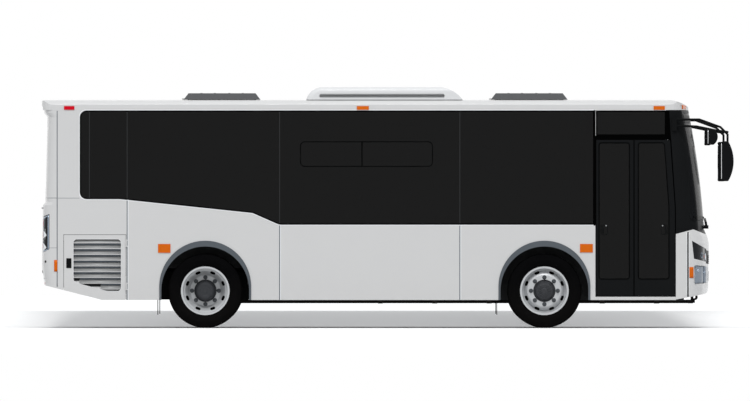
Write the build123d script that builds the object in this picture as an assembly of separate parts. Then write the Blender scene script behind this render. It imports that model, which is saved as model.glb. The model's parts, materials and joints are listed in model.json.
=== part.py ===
from build123d import *
import math
import os

# City bus, single deck, low floor at the front and raised floor over the driven rear axle.
# Millimetres. +X points to the front of the bus, +Y to its left side, +Z up.
# The origin lies on the ground in the middle of the overall length and width.

# Driving dimensions of the vehicle
BODY_LENGTH = 8375
BODY_WIDTH = 2440
MIRROR_REACH = 287
WHEELBASE = 4240
FRONT_OVERHANG = 2075
TYRE_RADIUS = 465
SKIRT_Z = 350
BELT_Z = 1290
REAR_BELT_Z = 1610
BAND_TOP_Z = 2720
ROOF_JOINT_Z = 2725
ROOF_Z = 2856

# Derived frame of the vehicle
HALF_WIDTH = BODY_WIDTH / 2
X_REAR = -(BODY_LENGTH + MIRROR_REACH) / 2
X_NOSE = X_REAR + BODY_LENGTH
X_FRONT_AXLE = X_NOSE - FRONT_OVERHANG
X_REAR_AXLE = X_FRONT_AXLE - WHEELBASE
HUB_Z = TYRE_RADIUS

# Thicknesses and clearances
WALL = 45
GLASS_BED = 10
GLASS_SEAT = 9
GLASS_RIM = 35
SEAM = 6
SEAT_GAP = 0.3
RUN_GAP = 8
LINING = 4

# Side wall: window posts, the sloping belt and panel seams, placed from the rear line
CORNER_SEAM_X = X_REAR + 215
BAND_REAR_X = X_REAR + 491
BAND_CORNER_R = 90
SLOPE_START_X = X_REAR + 994
SLOPE_KINK_X = X_REAR + 2650
SLOPE_KINK_Z = 1437
SLOPE_END_X = X_REAR + 2985
FIRST_POST_X = X_REAR + 612
PANEL_SEAM_X = (X_REAR + 1084, X_REAR + 2990, X_REAR + 5243)
POST_WIDTH = 90
BAND_RIM = 40
GROOVE_WIDTH = 12
GROOVE_DEPTH = 4

# Entrance door opening on the right side
DOOR_REAR_X = X_REAR + 6937
DOOR_FRONT_X = X_REAR + 7943
DOOR_LEAN = 60
DOOR_LEAN_Z = 1500
DOOR_TOP_Z = 2387
DOOR_LEAF = 36
DOOR_GAP = 10
DOOR_SPLIT_X = X_REAR + 7420
# width of the leaf frame at the jamb and at the split, for the rear and the front leaf
DOOR_STILES = ((38, 50), (78, 46))
DOOR_HEAD = 28
DOOR_KICK = 204
SILL_Z = 390

# Nose and tail outlines, each as a crowned end with two rounded corners
CROWN_R = 6000
TAIL_CROWN_R = 20000
TAIL_CORNER_R = 110
# columns: height, distance of the outline ahead of or behind the nose line, corner radius
UPPER_NOSE = ((1240, -59, 262), (2000, -132, 225), (ROOF_JOINT_Z, -256, 150))
LOWER_NOSE = ((330, -22, 300), (520, -8, 300), (1060, 0, 296), (1150, -22, 290), (1240, -59, 262))
# columns: height, distance of the outline ahead of the rear line
TAIL = ((340, 34), (560, 30), (720, 6), (825, 0), (1535, 13), (1575, 44), (1650, 44), (2640, 69),
        (2690, 31), (ROOF_JOINT_Z, 28))
TAIL_INSET = 105
TAIL_CUT_X = X_REAR + 771
TAIL_CUT_RISE = 190
CORNER_RECESS = 22
TAIL_CUT_RUN = 740

WINDSCREEN_LOW = (1175, 1330)
WINDSCREEN_TOP = (1080, 2690)

# Roof section
ROOF_SHOULDER_Z = 2770
ROOF_FLARE = 8
ROOF_EDGE_Z = 2838
ROOF_EDGE_INSET = 80
ROOF_SHOULDER_BULGE = (22, 2820)
ROOF_DROOP_X = X_NOSE - 582
ROOF_LIP_Z = 2763

# Wheel arches
ARCH_R = 575
ARCH_Z = 516
ARCH_INNER_R = 549
ARCH_INNER_Z = 470
ARCH_TRIM_PROUD = 10
WHEELBOX_INNER_Y = 600
WHEELBOX_SHEET = 15
WHEELBOX_CLEAR = 4

# Floor
FLOOR_Z = 385
FLOOR_DEPTH = 40
STEP_RISE = 200
STEP_X = X_REAR + 2890
STEP_DEPTH = 260
ENGINE_BAY_X = X_REAR + 1040
ENGINE_DECK_Z = 1190
FLOOR_FRONT_X = X_NOSE - 330

# Underframe
RAIL_Y = 330
RAIL_WIDTH = 60
LOW_RAIL_DEPTH = 40
HIGH_RAIL_DEPTH = 100
CROSS_WIDTH = 60
CROSS_DEPTH = 60
CROSS_X = (X_NOSE - 700, X_NOSE - 1380, X_FRONT_AXLE - 720, X_FRONT_AXLE - 1400, X_FRONT_AXLE - 2080)

END_CROSS_HALF = 700

TOW_EYE_R = 20
TOW_LUG_R = 36
TOW_LUG_WIDTH = 30
TOW_LUG_Y = 420
TOW_X = FLOOR_FRONT_X + 150
TOW_Z = FLOOR_Z - FLOOR_DEPTH + TOW_LUG_R

# Wheels
TYRE_WIDTH = 255
TYRE_BEAD_R = 288
RIM_FLANGE_R = 304
RIM_WIDTH = 210
RIM_SHEET = 12
RIM_LIP = 9
RIM_WELL_R = 262
TRACK_Y = 1062
TWIN_PITCH = 290
DISC_R = 208
HUB_CAP_R = 125
STUD_PCD = 335
STUD_COUNT = 8
HUB_FLANGE_R = STUD_PCD / 2 + 20
SLOT_R = 240
HUB_BORE_R = 140
KINGPIN_Y = 900
KINGPIN_R = 24
STEER_ARM = 230
TIE_ROD_R = 16

# Roof equipment
HATCH_LENGTH = 960
HATCH_WIDTH = 720
HATCH_HEIGHT = 78
HATCH_SHEET = 20
HATCH_X = (X_REAR + 2262, X_REAR + 6118)
AC_X = X_REAR + 4300
AC_LENGTH = 1960
AC_WIDTH = 1500
AC_HEIGHT = 158

# Engine doors
SIDE_DOOR_REAR_X = X_REAR + 288
SIDE_DOOR_FRONT_X = X_REAR + 1084
SIDE_DOOR_TOP_Z = 1169
HATCH_HALF_Y = 820
HATCH_LOW_Z = 640
HATCH_TOP_Z = 1500
REAR_WINDOW_HALF_Y = 880
REAR_WINDOW_Z = (1760, 2520)

# Front axle: a dropped beam with a boss for each kingpin, and a spring seat each side
BEAM_WIDTH = 90
BEAM_LOW_Z = 130
BEAM_DEPTH = 70
BOSS_R = 42
BOSS_HALF = 60
PIN_FIT = 0.05
SPINDLE_R = 40
SPINDLE_END_Y = 1125
KNUCKLE_PLATE_Y = (1022, 1042)
KNUCKLE_LUG = 24
ARM_END_Z = 200
ARM_PIN_R = 9
ROD_Z = 160
SPRING_R = 95
SPRING_Y = 480
FRONT_FACE = 82
FRONT_REACH = 36
REAR_FACE = 144.85
REAR_REACH = 150
REAR_SPINDLE_R = 55
DRIVE_TUBE_R = 68
DIFF_R = 185

# Engine block between the rear rails
ENGINE_X = (X_REAR + 190, X_REAR + 950)
ENGINE_HALF_Y = 270
ENGINE_Z = (510, 1090)
MOUNT_Z = (665, 725)

# Entrance doors: each leaf hangs on an arm and its leading edge runs in a rail
POST_U = 85
POST_V = 56
ARM_LENGTH = 185
LEAF_TOP_Z = 2350
LEAF_LOW_Z = 400
LEAF_EDGE_GAP = 12
ARM_Z = (2361, 2373)
ARM_PLATE_HALF = 18
DOOR_PIN_R = 8
HEADER_LOW_Z = 2384
HEADER_TOP_Z = 2600
HEADER_DEPTH = 150
LEAF_PLATE = 10

# Small hinges: a bored barrel on the lid and a pin on collars on the body
HINGE_PIN_R = 5
HINGE_R = 10
HINGE_HALF = 30
COLLAR = 16

SIDE_HINGE_X = SIDE_DOOR_FRONT_X - GROOVE_WIDTH
SIDE_HINGE_Y = -HALF_WIDTH - 12
SIDE_HINGE_Z = (520, 1060)
TAIL_HINGE_X = X_REAR + HINGE_R
TAIL_HINGE_Z = HATCH_TOP_Z
TAIL_HINGE_Y = (-600, 600)
LID_HINGE_Z = ROOF_Z + 14
LID_HINGE_Y = (-220, 220)

# Seats, cab and rails
SEAT_WIDTH = 440
SEAT_DEPTH = 430
SEAT_CUSHION = 70
SEAT_HEIGHT = 440
BACK_HEIGHT = 620
BACK_DEPTH = 60
# columns: rear edge of the cushion ahead of the rear line, inner edge of the pair, places, floor step
SEAT_ROWS = (
    (3300, 250, 2, 0),
    (4050, 250, 2, 0),
    (4800, 250, 2, 0),
    (1830, 250, 1, 2),
)

# Steering wheel and column
WHEEL_HUB = (X_NOSE - 560, 720, 1150)
WHEEL_TILT = 27
COLUMN_R = 22

# Grab rails
GRAB_RAIL_R = 16
GRAB_RAIL_Y = 420
GRAB_RAIL_X = (X_REAR + 3000, X_REAR + 6700)
GRAB_RAIL_Z = ROOF_Z - 330

# Mirrors: two bent arms on each roof corner, a small wide-angle head and the main head
MIRROR_BRACKET_X = X_REAR + 7893
MIRROR_ARM_R = 14
MIRROR_Y = 1330
# columns: distance behind the mirror tip, height
UPPER_ARM = ((427, 2606), (163, 2510), (75, 2420), (75, 2300))
LOWER_ARM = ((462, 2519), (199, 2466), (75, 2450))
MAIN_HEAD = (150, 200, 1835, 2335)
WIDE_HEAD = (120, 200, 2290, 2490)
WIDE_HEAD_BACK = 198

# Wipers parked on the cowl
WIPER_PIVOT_Y = (-420, 460)
WIPER_Z = 1262
WIPER_R = 8

# Mud flaps: distance behind the axle, sheet and height
FLAP_DX = 590
FLAP_SHEET = 8
FLAP_Z = (165, SKIRT_Z - 6)

# Side lamps: columns distance of the rear edge ahead of the rear line, length, low and high Z
SIDE_AMBER = (
    (1470, 156, 940, 1050),
    (6745, 160, 945, 1050),
    (3955, 150, 2728, 2774),
    (7665, 140, 2728, 2774),
)
SIDE_RED = ((295, 130, 2728, 2774),)
LAMP_PROUD = 9

os.makedirs("parts", exist_ok=True)


def side_prism(sketch, y_low, y_high):
    """A shape drawn in X and Z, extruded across the bus from y_low to y_high."""
    plane = Plane(origin=(0, y_high, 0), x_dir=(1, 0, 0), z_dir=(0, -1, 0))
    return extrude(plane * sketch, amount=y_high - y_low)


def cross_prism(sketch, x_low, x_high):
    """A shape drawn in Y and Z, extruded along the bus from x_low to x_high."""
    plane = Plane(origin=(x_low, 0, 0), x_dir=(0, 1, 0), z_dir=(1, 0, 0))
    return extrude(plane * sketch, amount=x_high - x_low)


def plan_prism(sketch, z_low, z_high):
    """A shape drawn in X and Y, extruded upwards from z_low to z_high."""
    return extrude(Pos(0, 0, z_low) * sketch, amount=z_high - z_low)


def outline(*points):
    """A closed face with straight sides."""
    return make_face(Polyline(*points, close=True))


def block(x, y, z):
    """A box from its low and high limits in X, Y and Z."""
    size = (x[1] - x[0], y[1] - y[0], z[1] - z[0])
    return Pos((x[0] + x[1]) / 2, (y[0] + y[1]) / 2, (z[0] + z[1]) / 2) * Box(*size)


def upright(x, y, z_low, z_high, radius):
    """A vertical round bar."""
    return Pos(x, y, (z_low + z_high) / 2) * Cylinder(radius, z_high - z_low)


def crossbar(x, z, y_low, y_high, radius):
    """A round bar that lies across the bus."""
    return Pos(x, (y_low + y_high) / 2, z) * Rot(90, 0, 0) * Cylinder(radius, y_high - y_low)


def lengthbar(y, z, x_low, x_high, radius):
    """A round bar that lies along the bus."""
    return Pos((x_low + x_high) / 2, y, z) * Rot(0, 90, 0) * Cylinder(radius, x_high - x_low)


def mirrored(shape):
    """The same shape on the other side of the bus."""
    return mirror(shape, about=Plane.XZ)


def save(name, *shapes):
    """Writes one node from its solids."""
    solids = [solid for shape in shapes for solid in shape.solids()]
    export_step(Compound(children=solids) if len(solids) > 1 else solids[0], f"parts/{name}.step")


def end_edges(x_end, x_back, corner_r, crown_r, half_width, sign):
    """Edges of a crowned end with two rounded corners, tangent all round; sign is 1 at the nose."""
    inset = half_width - corner_r
    depth = crown_r - math.sqrt((crown_r - corner_r) ** 2 - inset**2)
    corner_x = x_end - sign * depth
    centre_x = x_end - sign * crown_r
    reach = crown_r / (crown_r - corner_r)
    touch = (centre_x + (corner_x - centre_x) * reach, inset * reach)
    aim = math.atan2(touch[1] - inset, abs(touch[0] - corner_x))
    half = (aim + math.pi / 2) / 2
    middle = (corner_x + sign * corner_r * math.cos(half), inset + corner_r * math.sin(half))
    return [
        Line((x_back, -half_width), (corner_x, -half_width)),
        ThreePointArc((corner_x, -half_width), (middle[0], -middle[1]), (touch[0], -touch[1])),
        ThreePointArc((touch[0], -touch[1]), (x_end, 0), touch),
        ThreePointArc(touch, middle, (corner_x, half_width)),
        Line((corner_x, half_width), (x_back, half_width)),
    ]


def end_face(x_end, x_back, corner_r, crown_r, half_width, sign):
    """A closed plan outline with one crowned end."""
    edges = end_edges(x_end, x_back, corner_r, crown_r, half_width, sign)
    edges.append(Line((x_back, half_width), (x_back, -half_width)))
    return make_face(edges)


def nose_body(levels, x_back, inset, ruled):
    """The solid inside the nose skin, brought in by inset on every side in plan."""
    faces = [
        Pos(0, 0, z)
        * end_face(X_NOSE + dx - inset, x_back, r - inset, CROWN_R - inset, HALF_WIDTH - inset, 1)
        for z, dx, r in levels
    ]
    return loft(faces, ruled=ruled)


def tail_body(inset, x_back):
    """The solid inside the rear skin, brought in by inset in plan."""
    faces = [
        Pos(0, 0, z)
        * end_face(X_REAR + dx + inset, x_back, TAIL_CORNER_R - inset, TAIL_CROWN_R, HALF_WIDTH - inset, -1)
        for z, dx in TAIL
    ]
    return loft(faces, ruled=True)


def arch_face(x, radius, z):
    """A wheel arch outline: a half circle on straight legs that run below the skirt."""
    low = SKIRT_Z - 50
    legs = Pos(x, (z + low) / 2) * Rectangle(2 * radius, z - low)
    return (Pos(x, z) * Circle(radius)) + legs


def under_tail():
    """What the slanting underside of the tail cuts away from the side walls and the rear shell."""
    far = 2 * TAIL_CUT_RUN
    return side_prism(
        outline(
            (TAIL_CUT_X, SKIRT_Z - 200),
            (TAIL_CUT_X, SKIRT_Z),
            (TAIL_CUT_X - far, SKIRT_Z + far * TAIL_CUT_RISE / TAIL_CUT_RUN),
            (TAIL_CUT_X - far, SKIRT_Z - 200),
        ),
        -HALF_WIDTH - 50,
        HALF_WIDTH + 50,
    )


def band_face(x_front, grow=0):
    """The dark window band: low at the front, stepping up over the rear axle."""
    face = outline(
        (BAND_REAR_X - grow, BAND_TOP_Z + grow),
        (BAND_REAR_X - grow, REAR_BELT_Z - grow),
        (SLOPE_START_X, REAR_BELT_Z - grow),
        (SLOPE_KINK_X, SLOPE_KINK_Z - grow),
        (SLOPE_END_X, BELT_Z - grow),
        (x_front, BELT_Z - grow),
        (x_front, BAND_TOP_Z + grow),
    )
    rear = face.vertices().sort_by(Axis.X)[0:2]
    return fillet(rear, BAND_CORNER_R + grow)


def pane_edges(x_front):
    """Low and high X of each window pane between the posts."""
    seams = [BAND_REAR_X, FIRST_POST_X, *PANEL_SEAM_X, x_front]
    return list(zip(seams[:-1], seams[1:]))


def window_holes(x_front):
    """Openings between the posts, inside the rim that carries the glass."""
    inner = band_face(x_front - BAND_RIM, -BAND_RIM)
    holes = []
    for low, high in pane_edges(x_front)[1:]:
        clip = Pos((low + high) / 2, 2000) * Rectangle(high - low - POST_WIDTH, 3000)
        holes.append(inner & clip)
    return holes


def door_face(gap, low_z):
    """The entrance outline: its front edge leans back above the belt."""
    top = DOOR_TOP_Z - gap
    return outline(
        (DOOR_REAR_X + gap, low_z),
        (DOOR_FRONT_X - gap, low_z),
        (DOOR_FRONT_X - gap, DOOR_LEAN_Z),
        (DOOR_FRONT_X - DOOR_LEAN - gap, top),
        (DOOR_REAR_X + gap, top),
    )


def build_side_wall(side):
    """One side wall with its posts, wheel arches, window openings and the bed for the glass."""
    right = side < 0
    front_x = DOOR_FRONT_X
    wall = outline(
        (CORNER_SEAM_X, SKIRT_Z),
        (front_x, SKIRT_Z),
        (front_x, BELT_Z - 50),
        (front_x - DOOR_LEAN - 30, ROOF_JOINT_Z),
        (CORNER_SEAM_X, ROOF_JOINT_Z),
    )
    y_out = HALF_WIDTH
    solid = side_prism(wall, y_out - WALL, y_out)
    band_front = DOOR_REAR_X - 12 if right else front_x - DOOR_LEAN - 60
    solid -= side_prism(band_face(band_front), y_out - GLASS_BED, y_out + 5)
    if right:
        header = outline(
            (DOOR_REAR_X + 5, DOOR_TOP_Z + 15),
            (front_x - DOOR_LEAN - 60, DOOR_TOP_Z + 15),
            (front_x - DOOR_LEAN - 60, BAND_TOP_Z),
            (DOOR_REAR_X + 5, BAND_TOP_Z),
        )
        solid -= side_prism(header, y_out - GLASS_BED, y_out + 5)
    for hole in window_holes(band_front):
        solid -= side_prism(hole, y_out - WALL - 5, y_out + 5)
    for axle_x in (X_FRONT_AXLE, X_REAR_AXLE):
        solid -= side_prism(arch_face(axle_x, ARCH_R, ARCH_Z), y_out - WALL - 5, y_out + 5)
    for x in PANEL_SEAM_X:
        groove = outline(
            (x - GROOVE_WIDTH / 2, SKIRT_Z - 5),
            (x + GROOVE_WIDTH / 2, SKIRT_Z - 5),
            (x + GROOVE_WIDTH / 2, REAR_BELT_Z + 20),
            (x - GROOVE_WIDTH / 2, REAR_BELT_Z + 20),
        )
        solid -= side_prism(groove, y_out - GROOVE_DEPTH, y_out + 5)
    if right:
        solid = mirrored(solid)
        solid -= side_prism(door_face(0, SILL_Z), -y_out - 5, -y_out + WALL + 5)
        solid -= side_prism(engine_door_face(0), -y_out - 5, -y_out + WALL + 5)
    solid -= under_tail()
    return solid


def engine_door_face(gap):
    """The louvred engine door outline on the right side; the slanting tail trims its foot."""
    return outline(
        (SIDE_DOOR_REAR_X + gap, SKIRT_Z - 5),
        (SIDE_DOOR_FRONT_X - GROOVE_WIDTH - gap, SKIRT_Z - 5),
        (SIDE_DOOR_FRONT_X - GROOVE_WIDTH - gap, SIDE_DOOR_TOP_Z - gap),
        (SIDE_DOOR_REAR_X + gap, SIDE_DOOR_TOP_Z - gap),
    )


def build_side_glass(side):
    """The bonded panes of one side, one solid each."""
    right = side < 0
    band_front = DOOR_REAR_X - 12 if right else DOOR_FRONT_X - DOOR_LEAN - 60
    face = band_face(band_front, -2)
    y_in = HALF_WIDTH - GLASS_BED + SEAT_GAP
    panes = []
    for low, high in pane_edges(band_front):
        clip = Pos((low + high) / 2, 2000) * Rectangle(high - low - SEAM, 3000)
        panes.append(side_prism(face & clip, y_in, HALF_WIDTH - 2))
    if right:
        low, high = DOOR_REAR_X + 7, DOOR_FRONT_X - DOOR_LEAN - 62
        foot, top = DOOR_TOP_Z + 17, BAND_TOP_Z - 2
        head = outline((low, foot), (high, foot), (high, top), (low, top))
        panes.append(side_prism(head, y_in, HALF_WIDTH - 2))
        panes = [mirrored(pane) for pane in panes]
    return panes


def roof_section(inset, z_low):
    """The roof's cross section, brought in by inset."""
    w, e = HALF_WIDTH + ROOF_FLARE - inset, HALF_WIDTH - ROOF_EDGE_INSET - inset / 2
    bulge = (HALF_WIDTH - ROOF_SHOULDER_BULGE[0] - inset, ROOF_SHOULDER_BULGE[1] - inset)
    return make_face(
        [
            Line((-w, z_low), (-w, ROOF_SHOULDER_Z - inset)),
            ThreePointArc((-w, ROOF_SHOULDER_Z - inset), (-bulge[0], bulge[1]), (-e, ROOF_EDGE_Z - inset)),
            ThreePointArc((-e, ROOF_EDGE_Z - inset), (0, ROOF_Z - inset), (e, ROOF_EDGE_Z - inset)),
            ThreePointArc((e, ROOF_EDGE_Z - inset), bulge, (w, ROOF_SHOULDER_Z - inset)),
            Line((w, ROOF_SHOULDER_Z - inset), (w, z_low)),
            Line((w, z_low), (-w, z_low)),
        ]
    )


def roof_body(inset, z_low):
    """The roof as a solid: its section, plan and side outlines cut from one another."""
    top = ROOF_Z - inset
    nose_top = UPPER_NOSE[-1]
    nose_x = X_NOSE + nose_top[1] - inset
    tail_x = X_REAR + inset
    section = cross_prism(roof_section(inset, z_low), tail_x - 5, nose_x + 5)
    front = end_edges(nose_x, 0, nose_top[2] - inset, CROWN_R - inset, HALF_WIDTH - inset, 1)
    rear = end_edges(tail_x, 0, TAIL_CORNER_R - inset, TAIL_CROWN_R, HALF_WIDTH - inset, -1)
    plan = plan_prism(make_face([*front, *rear]), z_low - 5, ROOF_Z + 50)
    lip = X_REAR + TAIL[-1][1] + inset
    ledge = min(ROOF_LIP_Z, top - 70)
    bend = (ROOF_DROOP_X - 160, top + 30)
    droop = make_face(
        [
            Line((lip, z_low), (lip, ledge)),
            Line((lip, ledge), (tail_x, ledge + 28)),
            Line((tail_x, ledge + 28), (tail_x, top - 36)),
            Line((tail_x, top - 36), (tail_x + 40, top + 30)),
            Line((tail_x + 40, top + 30), bend),
            ThreePointArc(bend, (ROOF_DROOP_X + 170, top - 24), (nose_x - 8, top - 90)),
            Line((nose_x - 8, top - 90), (nose_x + 3, z_low)),
            Line((nose_x + 3, z_low), (lip, z_low)),
        ]
    )
    return section & plan & side_prism(droop, -HALF_WIDTH - 10, HALF_WIDTH + 10)


def build_roof():
    """The roof shell with the two hatch openings and their raised curbs."""
    z_low = ROOF_JOINT_Z + SEAT_GAP
    shell = roof_body(0, z_low) - roof_body(WALL, z_low - 10)
    half_l, half_w = HATCH_LENGTH / 2 - 70, HATCH_WIDTH / 2 - 70
    for x in HATCH_X:
        long, wide = (x - half_l - 20, x + half_l + 20), (-half_w - 20, half_w + 20)
        shell += block(long, wide, (ROOF_Z - 30, ROOF_Z + 22))
        shell -= block((x - half_l, x + half_l), (-half_w, half_w), (ROOF_Z - 200, ROOF_Z + 100))
    return shell


def build_hatch_lid(x):
    """A moulded roof hatch lid: a shallow open tray with sloping sides."""
    z0 = ROOF_Z + 6
    tray = Pos(x, 0, z0) * Rectangle(HATCH_LENGTH, HATCH_WIDTH)
    crown = Pos(x, 0, z0 + HATCH_HEIGHT) * Rectangle(HATCH_LENGTH - 120, HATCH_WIDTH - 120)
    body = loft([tray, crown], ruled=True)
    s = HATCH_SHEET
    low = Pos(x, 0, z0 - 1) * Rectangle(HATCH_LENGTH - 2 * s, HATCH_WIDTH - 2 * s)
    high = Pos(x, 0, z0 + HATCH_HEIGHT - s) * Rectangle(HATCH_LENGTH - 120 - 2 * s, HATCH_WIDTH - 120 - 2 * s)
    return body - loft([low, high], ruled=True)


def build_air_conditioner():
    """The roof air conditioner: a long cover with rounded ends and a slot along each flank."""
    z0 = ROOF_Z + SEAT_GAP
    half = AC_LENGTH / 2
    rear, front = AC_X - half, AC_X + half
    top = z0 + AC_HEIGHT
    side = make_face(
        [
            Line((rear, z0), (front, z0)),
            ThreePointArc((front, z0), (front - 100, z0 + 95), (front - 270, top)),
            Line((front - 270, top), (rear + 190, top)),
            ThreePointArc((rear + 190, top), (rear + 60, z0 + 100), (rear, z0)),
        ]
    )
    cover = side_prism(side, -AC_WIDTH / 2, AC_WIDTH / 2)
    cover = fillet(cover.faces().filter_by(Plane.XY).sort_by(Axis.Z)[-1].edges().filter_by(Axis.X), 60)
    cover -= block((rear - 5, front + 5), (-AC_WIDTH, AC_WIDTH), (0, z0))
    slot = fillet((Pos(AC_X - 30, z0 + 48) * Rectangle(1570, 54)).vertices(), 26)
    for y in (-AC_WIDTH / 2, AC_WIDTH / 2):
        cover -= side_prism(slot, y - 22, y + 22)
    inner = AC_WIDTH / 2 - 60
    return cover - block((rear + 220, front - 300), (-inner, inner), (z0 - 5, z0 + 110))


def build_front_mask():
    """The white lower nose: panel, corners and bumper in one shell, with the lamp openings."""
    outer = nose_body(LOWER_NOSE, X_NOSE - 700, 0, True)
    inner = nose_body(LOWER_NOSE, X_NOSE - 720, WALL, True)
    shell = outer - inner
    keep = side_prism(
        outline(
            (DOOR_FRONT_X + SEAT_GAP, SKIRT_Z + 6),
            (X_NOSE - 256, SKIRT_Z + 38),
            (X_NOSE - 45, SKIRT_Z + 80),
            (X_NOSE - 15, SKIRT_Z + 115),
            (X_NOSE + 50, SKIRT_Z + 190),
            (X_NOSE + 50, 1300),
            (DOOR_FRONT_X + SEAT_GAP, 1300),
        ),
        -HALF_WIDTH - 50,
        HALF_WIDTH + 50,
    )
    shell &= keep
    shell -= side_prism(mask_cut_face(), -HALF_WIDTH - 50, HALF_WIDTH + 50)
    skin = nose_body(LOWER_NOSE, X_NOSE - 700, -5, True)
    skin -= nose_body(LOWER_NOSE, X_NOSE - 720, CORNER_RECESS, True)
    for y in (-1, 1):
        shell -= headlamp_zone(y, 0)
        shell -= skin & corner_recess_zone(y)
    return shell


def mask_cut_face():
    """What lies above the mask: its top edge falls to the door and to the front."""
    return outline(
        (DOOR_FRONT_X - 10, 1172),
        (X_NOSE - 280, 1215),
        (X_NOSE - 212, 1232),
        (X_NOSE + 60, 1130),
        (X_NOSE + 60, 1400),
        (DOOR_FRONT_X - 10, 1400),
    )


def corner_recess_zone(side):
    """The dark recess under each headlamp, seen from the side."""
    face = outline(
        (X_NOSE - 205, 788),
        (X_NOSE - 30, 770),
        (X_NOSE - 30, 560),
        (X_NOSE - 190, 548),
    )
    low, high = sorted((side * 860, side * (HALF_WIDTH + 40)))
    return side_prism(fillet(face.vertices(), 30), low, high)


def headlamp_zone(side, gap):
    """The side outline of the headlamp carried across the corner of the nose."""
    face = outline(
        (X_NOSE - 230 + gap, 1092 - 2 * gap),
        (X_NOSE + 60, 925 - gap),
        (X_NOSE + 60, 800 + gap),
        (X_NOSE - 205 + gap, 866 + gap),
    )
    low, high = sorted((side * (700 + gap), side * (HALF_WIDTH + 40)))
    return side_prism(face, low, high)


def build_headlamps():
    """Both headlamp units, filling their openings in the mask."""
    body = nose_body(LOWER_NOSE, X_NOSE - 500, 3, True) - nose_body(LOWER_NOSE, X_NOSE - 520, WALL - 5, True)
    return [body & headlamp_zone(side, SEAT_GAP) for side in (-1, 1)]


def windscreen_cut(gap):
    """The windscreen's outline seen from the front: narrower at the top."""
    low_y, low_z = WINDSCREEN_LOW
    top_y, top_z = WINDSCREEN_TOP
    face = outline(
        (-low_y + gap, low_z + gap),
        (low_y - gap, low_z + gap),
        (top_y - gap, top_z - gap),
        (-top_y + gap, top_z - gap),
    )
    return cross_prism(fillet(face.vertices(), 60), X_NOSE - 600, X_NOSE + 50)


def build_front_frame():
    """The black upper nose: windscreen surround, corner posts and cowl above the mask."""
    back = X_NOSE - 640
    shell = nose_body(UPPER_NOSE, back, 0, False) - nose_body(UPPER_NOSE, back - 20, WALL, False)
    low = nose_body(LOWER_NOSE, back, LINING, True) - nose_body(LOWER_NOSE, back - 20, WALL, True)
    shell += low & side_prism(mask_cut_face(), -HALF_WIDTH - 50, HALF_WIDTH + 50)
    shell -= windscreen_cut(GLASS_RIM)
    rebate = nose_body(UPPER_NOSE, back, -5, False) - nose_body(UPPER_NOSE, back - 20, GLASS_SEAT, False)
    shell -= rebate & windscreen_cut(0)
    shell = shell & block((back - 5, X_NOSE + 50), (-HALF_WIDTH - 5, HALF_WIDTH + 5), (1172, ROOF_JOINT_Z))
    side_clear = side_prism(
        outline(
            (back - 50, 1100),
            (DOOR_FRONT_X + SEAT_GAP, 1100),
            (DOOR_FRONT_X + SEAT_GAP, BELT_Z - 50),
            (DOOR_FRONT_X - DOOR_LEAN - 30 + SEAT_GAP, BAND_TOP_Z + 50),
            (back - 50, BAND_TOP_Z + 50),
        ),
        -HALF_WIDTH - 50,
        HALF_WIDTH + 50,
    )
    shell -= side_clear
    return shell - side_prism(door_face(0, SKIRT_Z), -HALF_WIDTH - 5, -HALF_WIDTH + 120)


def build_windscreen():
    """The one-piece curved windscreen, flush with its surround."""
    back = X_NOSE - 600
    pane = nose_body(UPPER_NOSE, back, 2, False)
    pane -= nose_body(UPPER_NOSE, back - 20, GLASS_SEAT - SEAT_GAP, False)
    return pane & windscreen_cut(4)


def build_rear_shell():
    """The rear end: corner panels, window surround, lamp recesses and bumper."""
    back = CORNER_SEAM_X - SEAT_GAP
    outer = tail_body(0, back)
    edges = end_edges(X_REAR + TAIL_INSET, 0, TAIL_CORNER_R - WALL, TAIL_CROWN_R, HALF_WIDTH - WALL, -1)
    edges.append(Line((0, -HALF_WIDTH + WALL), (0, HALF_WIDTH - WALL)))
    shell = outer - plan_prism(make_face(edges), 300, 2800)
    shell -= under_tail()
    shell -= block((X_REAR - 20, X_REAR + 300), (-HATCH_HALF_Y, HATCH_HALF_Y), (HATCH_LOW_Z, HATCH_TOP_Z))
    shell -= rear_window_cut(GLASS_RIM)
    shell -= (tail_body(-5, back) - tail_body(GLASS_SEAT, back + 5)) & rear_window_cut(0)
    for side in (-1, 1):
        shell -= tail_lamp_zone(side, 0)
    return shell


def rear_window_cut(gap):
    """The rear window's outline, with rounded corners."""
    width, height = 2 * (REAR_WINDOW_HALF_Y - gap), REAR_WINDOW_Z[1] - REAR_WINDOW_Z[0] - 2 * gap
    face = Pos(0, sum(REAR_WINDOW_Z) / 2) * Rectangle(width, height)
    return cross_prism(fillet(face.vertices(), 90), X_REAR - 20, X_REAR + 300)


def build_rear_window():
    """The rear window pane, following the rear face."""
    back = CORNER_SEAM_X
    return (tail_body(2, back) - tail_body(GLASS_SEAT - SEAT_GAP, back + 5)) & rear_window_cut(4)


def tail_lamp_zone(side, gap):
    """The rear lamp column carried round the corner, with its upper and lower edges rising forwards."""
    face = outline(
        (X_REAR - 20, 1375 - gap),
        (X_REAR + TAIL_INSET + 7 - gap, 1425 - 2 * gap),
        (X_REAR + TAIL_INSET + 7 - gap, 985 + gap),
        (X_REAR - 20, 920 + gap),
    )
    low, high = sorted((side * (900 + gap), side * (HALF_WIDTH + 40)))
    return side_prism(face, low, high)


def build_tail_lamps():
    """Both rear lamp columns."""
    body = tail_body(2, CORNER_SEAM_X) - tail_body(45, CORNER_SEAM_X + 5)
    return [body & tail_lamp_zone(side, SEAT_GAP) for side in (-1, 1)]


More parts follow.
